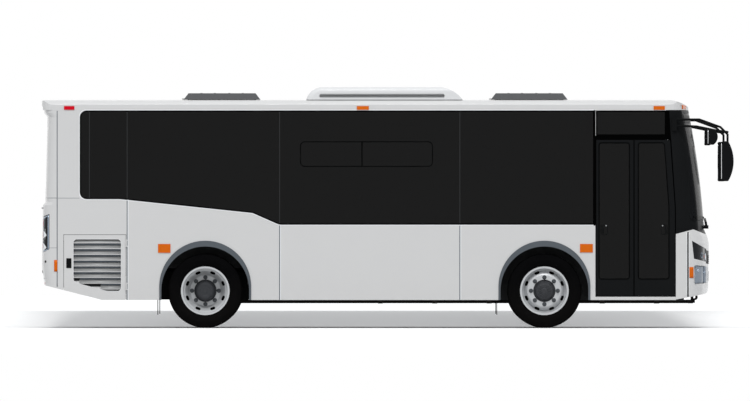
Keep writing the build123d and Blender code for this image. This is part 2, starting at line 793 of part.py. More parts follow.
def build_engine_hatch():
    """The top-hinged engine hatch on the rear face, with a row of louvre slots."""
    zone = block(
        (X_REAR - 20, X_REAR + 60),
        (-HATCH_HALF_Y + RUN_GAP, HATCH_HALF_Y - RUN_GAP),
        (HATCH_LOW_Z + RUN_GAP, HATCH_TOP_Z - RUN_GAP),
    )
    lid = tail_body(0, CORNER_SEAM_X) & zone
    for row in range(8):
        z = 1010 + row * 50
        lid -= block((X_REAR - 20, X_REAR + 200), (-560, 560), (z, z + 22))
    return lid


def build_engine_side_door():
    """The louvred door in the right rear flank, hinged along its front edge."""
    y_out = -HALF_WIDTH
    door = side_prism(engine_door_face(5), y_out, y_out + DOOR_LEAF) - under_tail()
    under = (SKIRT_Z - 50, SKIRT_Z)
    door = door - block((TAIL_CUT_X - 900, TAIL_CUT_X + 900), (y_out - 5, y_out + 50), under)
    opening = outline(
        (X_REAR + 414, 1108),
        (X_REAR + 1006, 1108),
        (X_REAR + 1006, 462),
        (X_REAR + 830, 462),
        (X_REAR + 414, 575),
    )
    opening = fillet(opening.vertices(), 45)
    door -= side_prism(opening, y_out - 5, y_out + 50)
    for row in range(9):
        z = 1075 - row * 72
        slat = outline((-24, -30), (-20, -34), (24, 26), (20, 30))
        leaning = Pos(y_out + 17, 0) * Rot(0, 0, -14) * slat
        bar = Pos(0, 0, z) * cross_prism(leaning, X_REAR + 414, X_REAR + 1006)
        bar &= side_prism(opening, y_out + 2, y_out + DOOR_LEAF)
        door += bar
    return door


def build_floor():
    """Low floor, two steps, raised rear floor and engine deck, with the four wheel boxes."""
    w = HALF_WIDTH - WALL - SEAT_GAP
    under = FLOOR_Z - FLOOR_DEPTH
    mid, high = FLOOR_Z + STEP_RISE, FLOOR_Z + 2 * STEP_RISE
    step = STEP_X - STEP_DEPTH
    d = FLOOR_DEPTH
    profile = outline(
        (FLOOR_FRONT_X, under),
        (FLOOR_FRONT_X, FLOOR_Z),
        (STEP_X, FLOOR_Z),
        (STEP_X, mid),
        (step, mid),
        (step, high),
        (ENGINE_BAY_X, high),
        (ENGINE_BAY_X, ENGINE_DECK_Z),
        (X_REAR + TAIL_INSET + 20, ENGINE_DECK_Z),
        (X_REAR + TAIL_INSET + 20, ENGINE_DECK_Z - d),
        (ENGINE_BAY_X - d, ENGINE_DECK_Z - d),
        (ENGINE_BAY_X - d, high - d),
        (step - d, high - d),
        (step - d, mid - d),
        (STEP_X - d, mid - d),
        (STEP_X - d, under),
    )
    floor = side_prism(profile, -w, w)
    inset = WALL + SEAT_GAP
    foot = LOWER_NOSE[0]
    nose = end_face(X_NOSE + foot[1] - inset, X_REAR, foot[2] - inset, CROWN_R - inset, w, 1)
    floor &= plan_prism(nose, 0, 3000)
    tail = end_face(X_REAR + TAIL_INSET + 1, X_NOSE, TAIL_CORNER_R - WALL, TAIL_CROWN_R, w, -1)
    floor &= plan_prism(tail, 0, 3000)
    r = ARCH_INNER_R + WHEELBOX_CLEAR
    for x, low in ((X_FRONT_AXLE, under), (X_REAR_AXLE, high - FLOOR_DEPTH)):
        for side in (-1, 1):
            y = sorted((side * WHEELBOX_INNER_Y, side * w))
            room = sorted((side * (WHEELBOX_INNER_Y + WHEELBOX_SHEET), side * (w + 5)))
            floor += side_prism(wheel_box_face(x, r + WHEELBOX_SHEET, low), *y)
            floor -= side_prism(wheel_box_face(x, r, low - 5), *room)
    return floor


def wheel_box_face(x, radius, low):
    """A wheel box outline: an arch on straight legs down to the floor's underside."""
    if low > ARCH_INNER_Z:
        keep = Pos(x, low + radius) * Rectangle(2.2 * radius, 2 * radius)
        return (Pos(x, ARCH_INNER_Z) * Circle(radius)) & keep
    legs = Pos(x, (ARCH_INNER_Z + low) / 2) * Rectangle(2 * radius, ARCH_INNER_Z - low)
    upper = Pos(x, ARCH_INNER_Z + radius) * Rectangle(2.2 * radius, 2 * radius)
    return ((Pos(x, ARCH_INNER_Z) * Circle(radius)) & upper) + legs


def build_underframe():
    """Two long rails with a step at the rear, cross members, and the tow eye at the front."""
    low_top = FLOOR_Z - FLOOR_DEPTH - SEAT_GAP
    high_top = FLOOR_Z + 2 * STEP_RISE - FLOOR_DEPTH - SEAT_GAP
    knee = STEP_X - STEP_DEPTH - FLOOR_DEPTH - SEAT_GAP
    rail = outline(
        (FLOOR_FRONT_X + 120, low_top),
        (FLOOR_FRONT_X + 120, low_top - LOW_RAIL_DEPTH),
        (knee - 120, low_top - LOW_RAIL_DEPTH),
        (knee - 120, high_top - HIGH_RAIL_DEPTH),
        (X_REAR + TAIL_INSET + 30, high_top - HIGH_RAIL_DEPTH),
        (X_REAR + TAIL_INSET + 30, high_top),
        (knee, high_top),
        (knee, low_top),
    )
    frame = side_prism(rail, RAIL_Y - RAIL_WIDTH / 2, RAIL_Y + RAIL_WIDTH / 2)
    frame += mirrored(frame)
    reach = HALF_WIDTH - WALL - SEAT_GAP
    low = (low_top - LOW_RAIL_DEPTH, low_top)
    high = (high_top - CROSS_DEPTH, high_top)
    for x in CROSS_X:
        frame += block((x, x + CROSS_WIDTH), (-reach, reach), low)
    for x in (X_REAR_AXLE - 680, ENGINE_BAY_X - 20):
        frame += block((x, x + CROSS_WIDTH), (-reach, reach), high)
    ends = (-END_CROSS_HALF, END_CROSS_HALF)
    frame += block((X_REAR + TAIL_INSET + 10, X_REAR + TAIL_INSET + 60), ends, high)
    frame += block((FLOOR_FRONT_X + 60, FLOOR_FRONT_X + 120), ends, low)
    return frame


def build_tow_lugs():
    """Towing lugs on the front of the first cross member, each bored across the bus."""
    lugs = []
    foot = FLOOR_Z - FLOOR_DEPTH - LOW_RAIL_DEPTH + 5
    for side in (-1, 1):
        low, high = side * TOW_LUG_Y - TOW_LUG_WIDTH / 2, side * TOW_LUG_Y + TOW_LUG_WIDTH / 2
        lug = block((FLOOR_FRONT_X + 110, TOW_X), (low, high), (foot, TOW_Z + 25))
        lug += crossbar(TOW_X, TOW_Z, low, high, TOW_LUG_R)
        lugs.append(lug - crossbar(TOW_X, TOW_Z, low - 1, high + 1, TOW_EYE_R))
    return lugs[0] + lugs[1]


def tyre_profile():
    """Half section of a tyre as straight runs: bead, sidewall, shoulder and tread."""
    w = TYRE_WIDTH / 2
    bead = RIM_WIDTH / 2 - RIM_LIP - SEAT_GAP
    return (
        (TYRE_BEAD_R, bead),
        (RIM_FLANGE_R + 4, bead),
        (TYRE_RADIUS - 95, w),
        (TYRE_RADIUS - 22, w - 14),
        (TYRE_RADIUS, w - 36),
    )


def build_tyre(y):
    """One tyre, turned about its axle line."""
    half = tyre_profile()
    section = [(r, y + v) for r, v in half] + [(r, y - v) for r, v in reversed(half)]
    return spin(section)


def spin(section):
    """Turns a closed list of (radius, y) about the axle line at the origin."""
    plane = Plane(origin=(0, 0, 0), x_dir=(1, 0, 0), z_dir=(0, 0, 1))
    return revolve(plane * outline(*section), axis=Axis.Y)


def rim_section(y, side):
    """A drop-centre rim with two flanges, as one closed section."""
    w = RIM_WIDTH / 2
    t = RIM_SHEET
    flange = RIM_FLANGE_R
    bead = TYRE_BEAD_R - SEAT_GAP
    return [
        (flange, y + side * (w + 3)),
        (flange, y + side * (w - RIM_LIP)),
        (bead, y + side * (w - RIM_LIP)),
        (bead - 4, y + side * 40),
        (RIM_WELL_R, y + side * 20),
        (RIM_WELL_R, y - side * 45),
        (bead - 4, y - side * 65),
        (bead, y - side * (w - RIM_LIP)),
        (flange, y - side * (w - RIM_LIP)),
        (flange, y - side * (w + 3)),
        (flange - 2 * t, y - side * (w + 1)),
        (bead - t - 4, y - side * 62),
        (RIM_WELL_R - t, y - side * 40),
        (RIM_WELL_R - t, y + side * 15),
        (bead - t - 4, y + side * 35),
        (flange - 2 * t, y + side * (w + 1)),
    ]


def disc_section(y, side, face):
    """The wheel disc: a flat bolting ring and a cone back to the rim well; face is its outer side."""
    t = RIM_SHEET
    seat = y + side * face
    root = y - side * 12
    return [
        (HUB_BORE_R, seat),
        (DISC_R - 12, seat),
        (DISC_R + 6, seat - side * 10),
        (RIM_WELL_R - 1, root),
        (RIM_WELL_R - 1, root - side * 16),
        (DISC_R - 6, seat - side * (10 + t)),
        (DISC_R - 18, seat - side * t),
        (HUB_BORE_R, seat - side * t),
    ]


def build_rim(y, side, face):
    """One wheel: rim, disc and the eight hand holes."""
    rim = spin(rim_section(y, side)) + spin(disc_section(y, side, face))
    for index in range(STUD_COUNT):
        turn = (index + 0.5) * 360 / STUD_COUNT
        hole = Rot(0, turn, 0) * Pos(0, y + side * face / 2, SLOT_R) * Rot(90, 0, 0)
        rim -= hole * extrude(Pos(0, 0, -150) * SlotOverall(66, 34), amount=300)
    return rim


def tube(points, radius):
    """A round bar bent through the given points."""
    bar = Pos(*points[0]) * Sphere(radius)
    for start, end in zip(points[:-1], points[1:]):
        run = Vector(*end) - Vector(*start)
        plane = Plane(origin=start, z_dir=run)
        bar += extrude(plane * Circle(radius), amount=run.length)
        bar += Pos(*end) * Sphere(radius)
    return bar


def build_front_axle():
    """The dropped front beam with its two kingpins."""
    top = BEAM_LOW_Z + BEAM_DEPTH
    hub = HUB_Z
    half = outline(
        (0, BEAM_LOW_Z),
        (600, BEAM_LOW_Z),
        (KINGPIN_Y - 64, hub - 50),
        (KINGPIN_Y, hub - 45),
        (KINGPIN_Y, hub + 45),
        (KINGPIN_Y - 50, hub + 45),
        (790, hub - 75),
        (580, top),
        (0, top),
    )
    arm = cross_prism(half, X_FRONT_AXLE - BEAM_WIDTH / 2, X_FRONT_AXLE + BEAM_WIDTH / 2)
    boss = upright(X_FRONT_AXLE, KINGPIN_Y, hub - BOSS_HALF, hub + BOSS_HALF, BOSS_R)
    pin = upright(X_FRONT_AXLE, KINGPIN_Y, hub - BOSS_HALF - 35, hub + BOSS_HALF + 35, KINGPIN_R)
    trim = block(
        (X_FRONT_AXLE - BEAM_WIDTH, X_FRONT_AXLE + BEAM_WIDTH),
        (KINGPIN_Y - 5, KINGPIN_Y + 100),
        (hub - 50, hub + 50),
    )
    arm = arm - trim + boss + pin
    beam = arm + mirrored(arm)
    for side in (-1, 1):
        beam += upright(X_FRONT_AXLE, side * SPRING_Y, top - 12, top, SPRING_R - 10)
    return beam


def build_knuckle():
    """The left steering knuckle: forked lugs, spindle and steering arm."""
    x, y, z = X_FRONT_AXLE, KINGPIN_Y, HUB_Z
    low = (z - BOSS_HALF - KNUCKLE_LUG - 1, z - BOSS_HALF - 1)
    high = (z + BOSS_HALF + 1, z + BOSS_HALF + KNUCKLE_LUG + 1)
    body = block((x - 46, x + 46), KNUCKLE_PLATE_Y, (low[0], high[1]))
    for lug in (low, high):
        body += upright(x, y, *lug, 46)
        body += block((x - 46, x + 46), (y, KNUCKLE_PLATE_Y[0] + 1), lug)
    body += crossbar(x, z, KNUCKLE_PLATE_Y[0], SPINDLE_END_Y, SPINDLE_R)
    tip_x, tip_y = x - STEER_ARM, y
    bend = (x - 150, y - 30, low[0] - 40)
    body += tube(((x - 38, y - 14, low[0] + 12), bend, (tip_x, tip_y, ARM_END_Z)), 12)
    body += upright(tip_x, tip_y, ROD_Z + 19, ARM_END_Z, 20)
    body += upright(tip_x, tip_y, ROD_Z - 20, ARM_END_Z, ARM_PIN_R)
    return body - upright(x, y, low[0] - 1, high[1] + 1, KINGPIN_R + PIN_FIT)


def build_tie_rod():
    """The tie rod with an eye at each end."""
    x, y = X_FRONT_AXLE - STEER_ARM, KINGPIN_Y
    rod = crossbar(x, ROD_Z, -y, y, TIE_ROD_R)
    for side in (-1, 1):
        rod += upright(x, side * y, ROD_Z - 18, ROD_Z + 18, 22)
    for side in (-1, 1):
        rod -= upright(x, side * y, ROD_Z - 19, ROD_Z + 19, ARM_PIN_R + PIN_FIT)
    return rod


def build_front_hub():
    """The left front hub, bored for the spindle and closed by its cap."""
    seat = TRACK_Y + FRONT_FACE
    back = seat - RIM_SHEET - SEAT_GAP
    inner = KNUCKLE_PLATE_Y[1] + RUN_GAP
    bore = SPINDLE_R + PIN_FIT
    return spin(
        [
            (0, seat + FRONT_REACH),
            (HUB_CAP_R - 22, seat + FRONT_REACH),
            (HUB_CAP_R, seat + FRONT_REACH - 24),
            (HUB_CAP_R, back),
            (HUB_FLANGE_R, back),
            (HUB_FLANGE_R, back - 30),
            (HUB_CAP_R, back - 40),
            (HUB_CAP_R, inner),
            (bore, inner),
            (bore, SPINDLE_END_Y + 2),
            (0, SPINDLE_END_Y + 2),
        ]
    )


def build_rear_hub():
    """The left rear hub, bored for the axle end, with its long barrel and cap."""
    seat = TRACK_Y - REAR_FACE
    back = seat - RIM_SHEET - SEAT_GAP - 0.15
    bore = REAR_SPINDLE_R + PIN_FIT
    return spin(
        [
            (0, seat + REAR_REACH),
            (HUB_CAP_R - 22, seat + REAR_REACH),
            (HUB_CAP_R, seat + REAR_REACH - 24),
            (HUB_CAP_R, back),
            (HUB_FLANGE_R, back),
            (HUB_FLANGE_R, back - 120),
            (bore, back - 120),
            (bore, back - 20),
            (0, back - 20),
        ]
    )


def build_rear_axle():
    """The driven axle: tube, differential bowl, spring seats and the propeller shaft."""
    x, z = X_REAR_AXLE, HUB_Z
    seat = TRACK_Y - REAR_FACE - RIM_SHEET - SEAT_GAP
    end = seat - 22
    axle = crossbar(x, z, -end, end, REAR_SPINDLE_R)
    axle += crossbar(x, z, -seat + 130, seat - 130, DRIVE_TUBE_R)
    axle += crossbar(x, z, -110, 110, DIFF_R)
    axle += lengthbar(0, z, ENGINE_X[1] + SEAT_GAP, x, 45)
    for side in (-1, 1):
        axle += block((x - 330, x + 330), (side * SPRING_Y - 35, side * SPRING_Y + 35), (z - 30, z + 40))
        for dx in (-270, 270):
            axle += upright(x + dx, side * SPRING_Y, z + 40, z + 60, SPRING_R)
    return axle


def build_air_springs():
    """Six bellows: one over each end of the front beam, two over each side of the rear axle."""
    floor_low = FLOOR_Z - FLOOR_DEPTH
    springs = []
    for side in (-1, 1):
        z0 = BEAM_LOW_Z + BEAM_DEPTH + SEAT_GAP
        springs.append(bellows(X_FRONT_AXLE, side * SPRING_Y, z0, floor_low - SEAT_GAP))
        for dx in (-270, 270):
            top = floor_low + 2 * STEP_RISE - SEAT_GAP
            springs.append(bellows(X_REAR_AXLE + dx, side * SPRING_Y, HUB_Z + 60 + SEAT_GAP, top))
    return springs


def bellows(x, y, z_low, z_high):
    """One air spring: two lobes between its plates."""
    h = z_high - z_low
    profile = make_face(
        [
            Line((0, 0), (SPRING_R - 12, 0)),
            ThreePointArc((SPRING_R - 12, 0), (SPRING_R, h / 4), (SPRING_R - 12, h / 2)),
            ThreePointArc((SPRING_R - 12, h / 2), (SPRING_R, 3 * h / 4), (SPRING_R - 12, h)),
            Line((SPRING_R - 12, h), (0, h)),
            Line((0, h), (0, 0)),
        ]
    )
    return Pos(x, y, z_low) * revolve(Plane.XZ * profile, axis=Axis.Z)


def build_engine():
    """The engine and gearbox as one plain block on two cross feet."""
    engine = block(ENGINE_X, (-ENGINE_HALF_Y, ENGINE_HALF_Y), ENGINE_Z)
    reach = RAIL_Y - RAIL_WIDTH / 2 - SEAT_GAP
    for x in (ENGINE_X[0] + 80, ENGINE_X[1] - 180):
        engine += block((x, x + 100), (-reach, reach), MOUNT_Z)
    return engine


def leaf_limits(front):
    """Hinge post, arm end, guide and leaf ends of one leaf along the opening."""
    edge = DOOR_FRONT_X if front else DOOR_REAR_X
    way = -1 if front else 1
    post = edge + way * POST_U
    return edge, way, post, post + way * ARM_LENGTH, post + way * 2 * ARM_LENGTH


def leaf_face(front, inset):
    """The outline of one leaf, brought in by inset all round."""
    edge, way, _, _, _ = leaf_limits(front)
    outer = edge + way * (LEAF_EDGE_GAP + inset)
    inner = DOOR_SPLIT_X - way * (DOOR_GAP / 2 + inset)
    lean = DOOR_LEAN if front else 0
    return outline(
        (outer, LEAF_LOW_Z + inset),
        (inner, LEAF_LOW_Z + inset),
        (inner, LEAF_TOP_Z - inset),
        (outer + way * lean, LEAF_TOP_Z - inset),
        (outer, DOOR_LEAN_Z),
    )


def leaf_glass_face(front, inset):
    """The glazed opening of one leaf, with rounded corners."""
    edge, way, _, _, _ = leaf_limits(front)
    jamb_stile, split_stile = DOOR_STILES[1 if front else 0]
    outer = edge + way * (jamb_stile + inset)
    inner = DOOR_SPLIT_X - way * (split_stile + inset)
    lean = DOOR_LEAN if front else 0
    face = outline(
        (outer, LEAF_LOW_Z + DOOR_KICK + inset),
        (inner, LEAF_LOW_Z + DOOR_KICK + inset),
        (inner, LEAF_TOP_Z - DOOR_HEAD - inset),
        (outer + way * lean, LEAF_TOP_Z - DOOR_HEAD - inset),
        (outer, DOOR_LEAN_Z),
    )
    corners = face.vertices().sort_by(Axis.Y)
    return fillet([*corners[0:2], *corners[-2:]], 40)


def build_door_leaf(front):
    """One leaf with its glazed opening, arm pin and guide pin."""
    _, way, _, arm_x, guide_x = leaf_limits(front)
    y = -HALF_WIDTH
    leaf = side_prism(leaf_face(front, 0), y, y + DOOR_LEAF)
    leaf -= side_prism(leaf_glass_face(front, 12), y - 5, y + DOOR_LEAF + 5)
    leaf -= side_prism(leaf_glass_face(front, 0), y - 5, y + GLASS_SEAT)
    post_y = y + POST_V
    for x in (arm_x, guide_x):
        plate = (LEAF_TOP_Z - LEAF_PLATE, LEAF_TOP_Z)
        leaf += block((x - 20, x + 20), (y + DOOR_LEAF - 8, post_y), plate)
        leaf += upright(x, post_y, *plate, 20)
    leaf += upright(arm_x, post_y, LEAF_TOP_Z - 5, ARM_Z[1] + 4, DOOR_PIN_R)
    leaf += upright(guide_x, post_y, LEAF_TOP_Z - 5, HEADER_LOW_Z + 16, DOOR_PIN_R)
    return leaf


def build_door_glass(front):
    """The pane of one leaf."""
    y = -HALF_WIDTH
    return side_prism(leaf_glass_face(front, 3), y + 2, y + GLASS_SEAT - SEAT_GAP)


def build_door_arm(front):
    """The arm that carries one leaf from its post."""
    _, way, post, arm_x, _ = leaf_limits(front)
    y = -HALF_WIDTH + POST_V
    low, high = sorted((post, arm_x))
    arm = block((low, high), (y - ARM_PLATE_HALF, y + ARM_PLATE_HALF), ARM_Z)
    for x in (post, arm_x):
        arm += upright(x, y, *ARM_Z, ARM_PLATE_HALF)
    for x in (post, arm_x):
        arm -= upright(x, y, ARM_Z[0] - 1, ARM_Z[1] + 1, DOOR_PIN_R + PIN_FIT)
    return arm


def build_door_header():
    """The door gear box over the entrance: rail slots for the guides and a post for each arm."""
    y = -HALF_WIDTH + WALL + SEAT_GAP
    x = (DOOR_REAR_X - 60, DOOR_FRONT_X - DOOR_LEAN - 5)
    header = block(x, (y, y + HEADER_DEPTH), (HEADER_LOW_Z, HEADER_TOP_Z))
    axis_y = -HALF_WIDTH + POST_V
    for front in (False, True):
        _, way, post, _, guide_x = leaf_limits(front)
        low, high = sorted((post + way * 35, guide_x + way * 25))
        slot = block((low, high), (axis_y - 14, axis_y + 14), (HEADER_LOW_Z - 1, HEADER_LOW_Z + 26))
        header -= slot
    for front in (False, True):
        _, _, post, _, _ = leaf_limits(front)
        header += upright(post, axis_y, ARM_Z[0] - 3, HEADER_LOW_Z + 10, DOOR_PIN_R)
    return header


def hinge_moving(tab_depth):
    """The lid half about the Z axis: a barrel with a tab towards minus Y."""
    barrel = Cylinder(HINGE_R, 2 * HINGE_HALF)
    barrel += block((-4, 4), (-tab_depth, 0), (-HINGE_HALF, HINGE_HALF))
    return barrel - Cylinder(HINGE_PIN_R + PIN_FIT, 2 * HINGE_HALF + 2)


def hinge_fixed(tab_depth):
    """The body half about the Z axis: a pin held by two collars with tabs towards minus Y."""
    pin = Cylinder(HINGE_PIN_R, 2 * (HINGE_HALF + COLLAR))
    for side in (-1, 1):
        low, high = sorted((side * (HINGE_HALF + 1), side * (HINGE_HALF + COLLAR)))
        pin += upright(0, 0, low, high, HINGE_R)
        pin += block((-4, 4), (-tab_depth, 0), (low, high))
    return pin


def upright_hinges(half, tab_turn):
    """Both hinges of the engine side door; tab_turn lays the tab towards its panel."""
    return [Pos(SIDE_HINGE_X, SIDE_HINGE_Y, z) * Rot(0, 0, tab_turn) * half for z in SIDE_HINGE_Z]


def cross_hinges(half, x, z, places, tab_turn):
    """Hinges whose pins lie across the bus."""
    return [Pos(x, y, z) * Rot(0, tab_turn, 0) * Rot(90, 0, 0) * half for y in places]


def fuse(base, extras):
    """One solid from a base and the pieces that grow on it."""
    for extra in extras:
        base += extra
    return base


def build_seat(x, y, width, floor_z):
    """One bench: cushion, back and a pedestal on the floor."""
    z = floor_z + SEAT_HEIGHT
    front, top = x + SEAT_DEPTH, z + BACK_HEIGHT
    face = outline(
        (x - 10, z - SEAT_CUSHION),
        (front - 20, z - SEAT_CUSHION),
        (front, z + 8),
        (x + BACK_DEPTH, z - 6),
        (x + 15, top),
        (x + 15 - BACK_DEPTH, top),
    )
    seat = side_prism(fillet(face.vertices(), 20), y, y + width)
    middle = y + width / 2
    return seat + block((x + 120, x + 300), (middle - 60, middle + 60), (floor_z + SEAT_GAP, z - 10))


def build_seats():
    """All passenger seats as benches, mirrored left and right where the door leaves room."""
    seats = []
    for back, inner, places, step in SEAT_ROWS:
        width = places * SEAT_WIDTH
        z = FLOOR_Z + step * STEP_RISE
        bench = build_seat(X_REAR + back, inner, width, z)
        seats.append(bench)
        seats.append(mirrored(bench))
    bench = build_seat(ENGINE_BAY_X + 80, -1100, 2200, FLOOR_Z + 2 * STEP_RISE)
    seats.append(bench)
    return seats


def build_driver_seat():
    """The driver's seat on its pedestal."""
    return build_seat(X_NOSE - 1180, 480, 480, FLOOR_Z)


def build_dashboard():
    """The dashboard across the driver's side, standing on the floor, with its steering column."""
    x = (X_NOSE - 480, X_NOSE - 340)
    desk = block(x, (-380, 1120), (FLOOR_Z + SEAT_GAP, 1010))
    desk += block((x[0] - 60, x[1]), (150, 1120), (900, 1060))
    hx, hy, hz = WHEEL_HUB
    tilt = math.radians(WHEEL_TILT)
    drop = 15 + SEAT_GAP + COLUMN_R
    head = (hx + drop * math.sin(tilt), hy, hz - drop * math.cos(tilt))
    desk += tube((head, (head[0] + 260 * math.sin(tilt), hy, head[2] - 260 * math.cos(tilt))), COLUMN_R)
    return desk


def build_steering_wheel():
    """The steering wheel: rim, hub and three spokes."""
    rim = Torus(215, 14) + Cylinder(45, 30)
    for turn in (90, 210, 330):
        rim += Rot(0, 0, turn) * block((30, 212), (-12, 12), (-6, 6))
    return Pos(*WHEEL_HUB) * Rot(0, -WHEEL_TILT, 0) * rim


def build_grab_rails():
    """Floor-to-ceiling poles joined by a long rail under the roof on each side."""
    rails = []
    low_x, high_x = GRAB_RAIL_X
    for side in (-1, 1):
        y = side * GRAB_RAIL_Y
        rail = lengthbar(y, GRAB_RAIL_Z, low_x, high_x, GRAB_RAIL_R)
        for x in (low_x + 200, low_x + 1500, low_x + 2700, high_x - 100):
            rail += upright(x, y, FLOOR_Z + SEAT_GAP, GRAB_RAIL_Z, GRAB_RAIL_R)
        rails.append(rail)
    return rails


def build_mirror():
    """The left exterior mirror with both heads."""
    tip = X_NOSE + MIRROR_REACH
    base = (MIRROR_BRACKET_X + 60, HALF_WIDTH + 12)
    arm = tube(((*base, 2606), *((tip - dx, MIRROR_Y, z) for dx, z in UPPER_ARM)), MIRROR_ARM_R)
    arm += tube(((*base, 2528), *((tip - dx, MIRROR_Y, z) for dx, z in LOWER_ARM)), MIRROR_ARM_R)
    plate = block(
        (MIRROR_BRACKET_X, MIRROR_BRACKET_X + 62),
        (HALF_WIDTH + SEAT_GAP, HALF_WIDTH + 26),
        (2463, 2638),
    )
    return arm + plate + mirror_head(tip, MAIN_HEAD) + mirror_head(tip - WIDE_HEAD_BACK, WIDE_HEAD)


def mirror_head(tip, size):
    """One mirror head: a flat glass side to the rear and a shell curved to the front."""
    depth, width, low, high = size
    face = make_face(
        [
            Line((tip - depth, low), (tip - depth, high)),
            Line((tip - depth, high), (tip - depth * 0.45, high)),
            ThreePointArc((tip - depth * 0.45, high), (tip, (low + high) / 2), (tip - depth * 0.45, low)),
            Line((tip - depth * 0.45, low), (tip - depth, low)),
        ]
    )
    head = side_prism(face, MIRROR_Y - width / 2, MIRROR_Y + width / 2)
    return fillet(head.edges(), size[0] * 0.14)


def build_wipers():
    """Two wipers: a spindle boss on the cowl and a blade that lies along the windscreen's foot."""
    wipers = []
    skin = nose_body(UPPER_NOSE, X_NOSE - 600, -SEAT_GAP, False)
    for y in WIPER_PIVOT_Y:
        boss = lengthbar(y, WIPER_Z, X_NOSE - 200, X_NOSE - 10, 22) - skin
        out = X_NOSE - 28
        bend = (out - 8, y + 60, WIPER_Z + 60)
        arm = tube(((out, y, WIPER_Z), bend, (out - 14, y + 520, WIPER_Z + 105)), WIPER_R)
        wipers.append((boss + arm) - skin)
    return wipers


def build_arch_trims():
    """The four wheel arch trims, one on each arch."""
    trims = []
    keep = block((X_REAR, X_NOSE), (-2000, 2000), (SKIRT_Z, 2000))
    for axle_x in (X_FRONT_AXLE, X_REAR_AXLE):
        ring = arch_face(axle_x, ARCH_R - SEAT_GAP, ARCH_Z) - arch_face(axle_x, ARCH_INNER_R, ARCH_INNER_Z)
        trim = side_prism(ring, HALF_WIDTH - WALL + SEAT_GAP, HALF_WIDTH + ARCH_TRIM_PROUD) & keep
        trims.append(trim)
        trims.append(mirrored(trim))
    return trims


def build_mud_flaps():
    """A rubber flap behind each wheel, hung from the underside of the floor."""
    flaps = []
    for axle_x in (X_FRONT_AXLE, X_REAR_AXLE):
        x = axle_x - FLAP_DX
        top = FLOOR_Z - FLOOR_DEPTH - SEAT_GAP
        if axle_x == X_REAR_AXLE:
            top = SKIRT_Z + 120
        flap = block((x - FLAP_SHEET, x), (930, HALF_WIDTH - WALL - SEAT_GAP), (FLAP_Z[0], top))
        flaps.append(flap)
        flaps.append(mirrored(flap))
    return flaps


def side_lamps(table):
    """Lamps on the flat of the side wall, both sides."""
    lamps = []
    for back, length, low, high in table:
        x = (X_REAR + back, X_REAR + back + length)
        lamp = block(x, (HALF_WIDTH + SEAT_GAP, HALF_WIDTH + LAMP_PROUD), (low, high))
        lamps.append(lamp)
        lamps.append(mirrored(lamp))
    return lamps


def place(shape, x):
    """Moves a wheel piece made about the origin to its axle."""
    return Pos(x, 0, HUB_Z) * shape


def both_sides(name, shape):
    """Writes a left piece and its mirror image."""
    save(f"{name}_left", shape)
    save(f"{name}_right", mirrored(shape))


save("chassis_frame", build_underframe() + build_tow_lugs())
save("cabin_floor", build_floor())
right_wall = build_side_wall(-1)
save("side_wall_right", fuse(right_wall, upright_hinges(hinge_fixed(20), 135)))
save("side_wall_left", build_side_wall(1))
roof = build_roof()
for hatch_x in HATCH_X:
    hinge_x = hatch_x - HATCH_LENGTH / 2 - 14
    roof = fuse(roof, cross_hinges(hinge_fixed(18), hinge_x, LID_HINGE_Z, LID_HINGE_Y, 0))
save("roof_shell", roof)
save("front_mask", build_front_mask())
save("front_frame", build_front_frame())
tail_hinges = cross_hinges(hinge_fixed(26), TAIL_HINGE_X, TAIL_HINGE_Z, TAIL_HINGE_Y, -135)
save("rear_shell", fuse(build_rear_shell(), tail_hinges))
save("windscreen", build_windscreen())
save("side_glass_right", *build_side_glass(-1))
save("side_glass_left", *build_side_glass(1))
save("rear_window", build_rear_window())
save("headlamps", *build_headlamps())
save("tail_lamps", *build_tail_lamps())
save("amber_lamps", *side_lamps(SIDE_AMBER))
save("red_lamps", *side_lamps(SIDE_RED))
save("roof_air_conditioner", build_air_conditioner())
save("front_axle", build_front_axle())
save("rear_axle", build_rear_axle())
save("air_springs", *build_air_springs())
save("engine_block", build_engine())
save("door_header", build_door_header())
save("seats", *build_seats())
save("driver_seat", build_driver_seat())
save("dashboard", build_dashboard())
save("steering_wheel", build_steering_wheel())
save("grab_rails", *build_grab_rails())
left_mirror = build_mirror()
save("mirrors", left_mirror, mirrored(left_mirror))
save("wipers", *build_wipers())
save("wheel_arch_trims", *build_arch_trims())
save("mud_flaps", *build_mud_flaps())
both_sides("knuckle", build_knuckle())
save("tie_rod", build_tie_rod())
both_sides("tyre_front", place(build_tyre(TRACK_Y), X_FRONT_AXLE))
both_sides("rim_front", place(build_rim(TRACK_Y, 1, FRONT_FACE), X_FRONT_AXLE))
both_sides("hub_front", place(build_front_hub(), X_FRONT_AXLE))
twin_tyres = Compound(children=[build_tyre(TRACK_Y), build_tyre(TRACK_Y - TWIN_PITCH)])
both_sides("tyres_rear", place(twin_tyres, X_REAR_AXLE))
twin_rims = Compound(
    children=[build_rim(TRACK_Y, -1, REAR_FACE), build_rim(TRACK_Y - TWIN_PITCH, 1, REAR_FACE)]
)
both_sides("rims_rear", place(twin_rims, X_REAR_AXLE))
both_sides("hub_rear", place(build_rear_hub(), X_REAR_AXLE))
for leaf_name, leaf_front in (("rear", False), ("front", True)):
    save(f"door_leaf_{leaf_name}", build_door_leaf(leaf_front))
    save(f"door_glass_{leaf_name}", build_door_glass(leaf_front))
    save(f"door_arm_{leaf_name}", build_door_arm(leaf_front))
side_door = build_engine_side_door()
save("engine_side_door", fuse(side_door, upright_hinges(hinge_moving(20), -135)))
hatch_hinges = cross_hinges(hinge_moving(26), TAIL_HINGE_X, TAIL_HINGE_Z, TAIL_HINGE_Y, -45)
save("engine_hatch", fuse(build_engine_hatch(), hatch_hinges))
